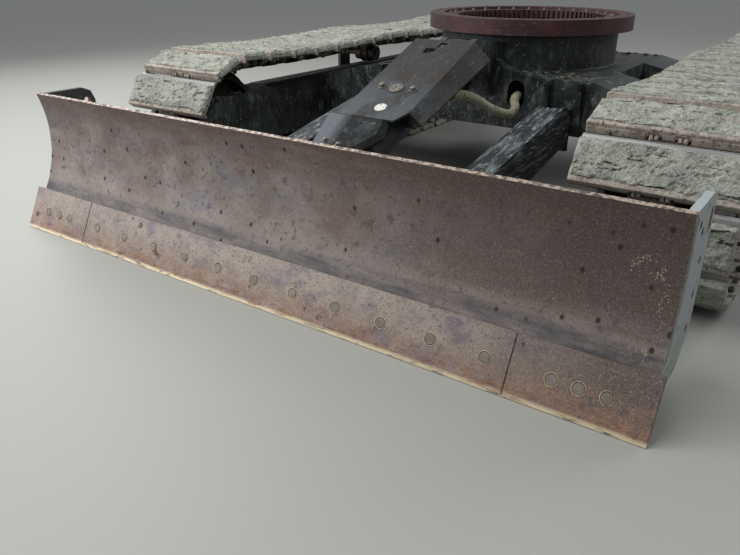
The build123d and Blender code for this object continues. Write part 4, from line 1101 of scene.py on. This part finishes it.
block_places = (0.70, 0.35, 0.0, -0.35, -0.70)
block_reach, bolt_step, block_bottom = 0.121, 0.019, 0.128
head_down = Matrix.Rotation(math.pi, 4, "X")
heads = [ring_of_bolts((0, swing_y, 0.700), (0, 0, 1), 0.369, 30, 0.0075, 0.009)]
for side in (-1, 1):
    for offset, y, radius, count, bolt_radius, height in (
        (0.128, rear_y, 0.080, 9, 0.008, 0.008),
        (0.024, rear_y, 0.152, 16, 0.007, 0.009),
        (0.155, front_y, 0.050, 4, 0.008, 0.008),
    ):
        centre = (side * (track_x + offset), y, wheel_z)
        heads.append(ring_of_bolts(centre, (side, 0, 0), radius, count, bolt_radius, height))
    for place in block_places:
        for x in (-block_reach, block_reach):
            for step in (-bolt_step, bolt_step):
                spot = Matrix.Translation((side * track_x + x, ahead(place) + step, block_bottom))
                heads.append(moved(hex_bolt(0.007, 0.006), spot @ head_down))
piece("steel_bolts", joined(heads), bolt_steel, "undercarriage")
print("rows and single bolts:", len(heads))

# %% [markdown]
# ## Welds
# Plates of this thickness are joined by fillet welds, which show as rippled beads in the corners. A
# bead is a tube along a line, a little thicker and thinner from ripple to ripple. A bevelled curve
# would be quicker to write, but its tube is even, and a weld never is.

# %% Welds
def bead(points, radius=0.0045, step=0.006):
    """A rippled tube along a line of points."""
    spots = []
    for start, end in zip(points, points[1:]):
        start, end = Vector(start), Vector(end)
        count = max(1, round((end - start).length / step))
        spots += [start.lerp(end, i / count) for i in range(count)]
    spots.append(Vector(points[-1]))
    rings, faces = [], []
    for index, spot in enumerate(spots):
        after, before = spots[min(index + 1, len(spots) - 1)], spots[max(index - 1, 0)]
        turn = Vector((0, 0, 1)).rotation_difference(after - before).to_matrix()
        swell = radius * (1.12 if index % 2 else 0.88) * (1 + 0.25 * noise.noise(spot * 40))
        rings += [tuple(spot + turn @ Vector((x, y, 0))) for x, y in circle(swell, 6)]
    for index in range(len(spots) - 1):
        for i in range(6):
            a, b = index * 6 + i, index * 6 + (i + 1) % 6
            faces.append((a, b, b + 6, a + 6))
    last = len(rings) - 6
    faces += [tuple(range(6))[::-1], tuple(range(last, last + 6))]
    return rings, faces


plate_y = ahead(0.510)
collar = circle(0.4, 90)
fixed_welds = [bead([(x, swing_y + y, carbody_top) for y, x in collar + collar[:1]])]
# Upright beads on the carbody's front plate: their places, low and high ends, and thickness
upright_beads = (
    ((0.322, 0.334, 0.450, 0.466), 0.302, 0.492, 0.004),
    ((0.355, 0.425), 0.292, 0.397, 0.005),
    ((0.051, 0.076), 0.415, 0.500, 0.004),
)
for side in (-1, 1):
    for bead_places, low, high, radius in upright_beads:
        for x in bead_places:
            fixed_welds.append(bead([(side * x, plate_y, low), (side * x, plate_y, high)], radius))
    for end in (-1, 1):
        y_in, y_out = ahead(end * 0.180), ahead(end * 0.510)
        x = side * (track_x - 0.157)
        corners = [(y_in, 0.235), (y_in, 0.430), (y_out, 0.430), (y_out, 0.235), (y_in, 0.235)]
        fixed_welds.append(bead([(x, y, z) for y, z in corners], 0.006))
piece("carbody_welds", joined(fixed_welds), frame_paint, "undercarriage", smooth=True)
print("beads on the carbody:", len(fixed_welds))

# %% Welds on the blade and the guard
mold_wall = 0.012
outer_face, inner_face = 1.1455, 1.1245
arm_y, arm_corners = ahead(1.660), ((0.340, 0.142), (0.340, 0.2226), (0.440, 0.2226), (0.440, 0.142))
heights = [0.15 + 0.33 * i / 20 for i in range(21)]
rib_heights = [0.365 + 0.06 * i / 5 for i in range(6)]
plate_welds = []
blade_welds = [bead([(x, *mold_side(0.360, mold_wall)) for x in (-1.128, 1.128)])]
for side in (-1, 1):
    blade_welds.append(bead([(side * x, arm_y, z) for x, z in arm_corners], 0.006))
    plate_welds.append(bead([(side * outer_face, *mold_side(h, mold_wall)) for h in heights], 0.0030))
    blade_welds.append(bead([(side * inner_face, *mold_side(h, mold_wall)) for h in heights], 0.0035))
    for rib_x in (0.390, 0.700, 0.940):
        for edge in (-0.007, 0.007):
            line = [(side * rib_x + edge, *mold_side(h, mold_wall)) for h in rib_heights]
            blade_welds.append(bead(line, 0.0035))
piece("blade_welds", joined(blade_welds), frame_paint, "blade", smooth=True)
piece("plate_welds", joined(plate_welds), end_paint_and_shade, "blade", smooth=True)
bonnet_line = [by_ram(x, 0.6405, 0.0975) for x in (-0.163, 0.058)]
piece("guard_weld", bead(bonnet_line, 0.0022, 0.004), guard_paint, "cylinder", smooth=True)
print("beads on the blade:", len(blade_welds) + len(plate_welds))

# %% [markdown]
# ## Grease nipples
# Every pin that turns has a nipple at its end, where a grease gun snaps on. Its profile is turned
# round its axis, as a lathe makes the real one.

# %% Grease nipples
nipple = turned([
    (0, 0), (0.0065, 0), (0.0065, 0.004), (0.0035, 0.005), (0.0035, 0.009), (0.0045, 0.011), (0, 0.0125),
], 12)
nipples = []
for side in (-1, 1):
    outward = Matrix.Rotation(side * math.pi / 2, 4, "Y")
    for x, place, height in ((0.4420, 0.640, 0.345), (0.0840, ram_place, ram_z)):
        nipples.append(moved(nipple, Matrix.Translation((side * x, ahead(place), height)) @ outward))
piece("grease_nipples", joined(nipples), bolt_steel, "undercarriage", smooth=True)
print("nipples:", len(nipples))

# %% [markdown]
# ## The hose
# A hose in a beige sleeve leaves a fitting on the cylinder, falls beside it, turns and goes into the
# hole in the carbody's front plate. A curve with a round bevel keeps its bends smooth and its
# thickness even. Its points are the same as the part's own. The sleeve starts at a pressed ferrule
# with a hexagon.

# %% Hose
hose_points = (
    (0.102, 0.309, -0.004),
    (0.125, 0.252, -0.024),
    (0.165, 0.209, -0.064),
    (0.195, 0.170, -0.126),
    (0.215, 0.107, -0.185),
    (0.226, 0.057, -0.221),
    (0.222, 0.000, -0.227),
    (0.190, -0.049, -0.212),
    (0.183, -0.103, -0.234),
)
hose_curve = bpy.data.curves.new("hose_sleeved", "CURVE")
hose_curve.dimensions = "3D"
hose_line = hose_curve.splines.new("NURBS")
hose_line.points.add(len(hose_points) - 1)
for spot, point in zip(hose_line.points, hose_points):
    spot.co = (*by_ram(*point), 1.0)
hose_line.order_u = 3
hose_line.use_endpoint_u = True
hose_line.resolution_u = 12
hose_curve.bevel_depth = 0.018
hose_curve.bevel_resolution = 5
hose_curve.materials.append(sleeve)
hose = in_scene("hose_sleeved", hose_curve)
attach(hose, "cylinder")
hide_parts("hose")
print("hose points:", len(hose_points))

# %% Ferrule of the hose
start, after = by_ram(*hose_points[0]), by_ram(*hose_points[1])
along_hose = Vector((0, 0, 1)).rotation_difference(after - start).to_matrix().to_4x4()
ferrule = joined([
    turned([
        (0, 0.002), (0.0205, 0.002), (0.0205, 0.010), (0.0192, 0.012), (0.0192, 0.030), (0, 0.030),
    ], 24),
    prism(circle(0.021, 6), -0.012, 0.003, "z"),
])
piece("hose_ferrule", moved(ferrule, Matrix.Translation(start) @ along_hose), bolt_steel, "cylinder")
print("faces of the ferrule:", len(ferrule[1]))

# %% [markdown]
# ## Carrier roller flanges
# The carrier roller keeps the chain in line with two flanges between the link rails. They are turned
# from one profile, like the roller itself.

# %% Carrier roller flanges
flange = turned([
    (0.039, -0.026), (0.046, -0.024), (0.046, -0.014), (0.040, -0.010),
    (0.040, 0.010), (0.046, 0.014), (0.046, 0.024), (0.039, 0.026),
], 40)
lying = Matrix.Rotation(math.pi / 2, 4, "Y")
flanges = []
for side in (-1, 1):
    flanges.append(moved(flange, Matrix.Translation((side * track_x, ahead(-0.05), 0.4617)) @ lying))
piece("carrier_flanges", joined(flanges), ring_iron, "undercarriage")
print("rollers with flanges:", len(flanges))

# %% [markdown]
# ## Floor and light
# A plain pale floor and large soft lamps stand for the hall, and the world gives the rest. A sky
# picture would light the steel as well, but large lamps can be moved one by one until the shades
# agree with the photograph.

# %% Floor, lamps and world
scene = bpy.context.scene
scene.view_settings.view_transform = "Standard"
floor_mesh = bpy.data.meshes.new("floor")
floor_mesh.from_pydata([(-30, -30, 0), (30, -30, 0), (30, 30, 0), (-30, 30, 0)], [], [(0, 1, 2, 3)])
floor_mesh.materials.append(layered("hall_floor", "#999a94", 0.55, bump=(400.0, 0.02)))
floor = in_scene("floor", floor_mesh)
world = bpy.data.worlds.new("hall")
scene.world = world
world.use_nodes = True
sky = {"Color": (0.86, 0.89, 0.92, 1), "Strength": 0.45}
feed(world.node_tree, world.node_tree.nodes["Background"], sky)
aimed_at = Vector((0.0, -0.4, 0.3))
lamps = (
    ("overhead", (-1.0, -2.4, 3.8), 3.4, 130.0),
    ("left", (-4.2, 0.3, 3.0), 2.6, 110.0),
    ("front", (-3.8, -3.9, 2.1), 2.4, 115.0),
    ("rear", (3.2, 3.8, 3.4), 2.4, 80.0),
)
for name, place, size, power in lamps:
    lamp_data = bpy.data.lights.new(name, "AREA")
    lamp_data.energy = power
    lamp_data.size = size
    lamp = in_scene(name, lamp_data)
    lamp.location = place
    away = Vector(place) - aimed_at
    lamp.rotation_euler = Vector((0, 0, 1)).rotation_difference(away).to_euler()
print("lamps:", len(lamps))
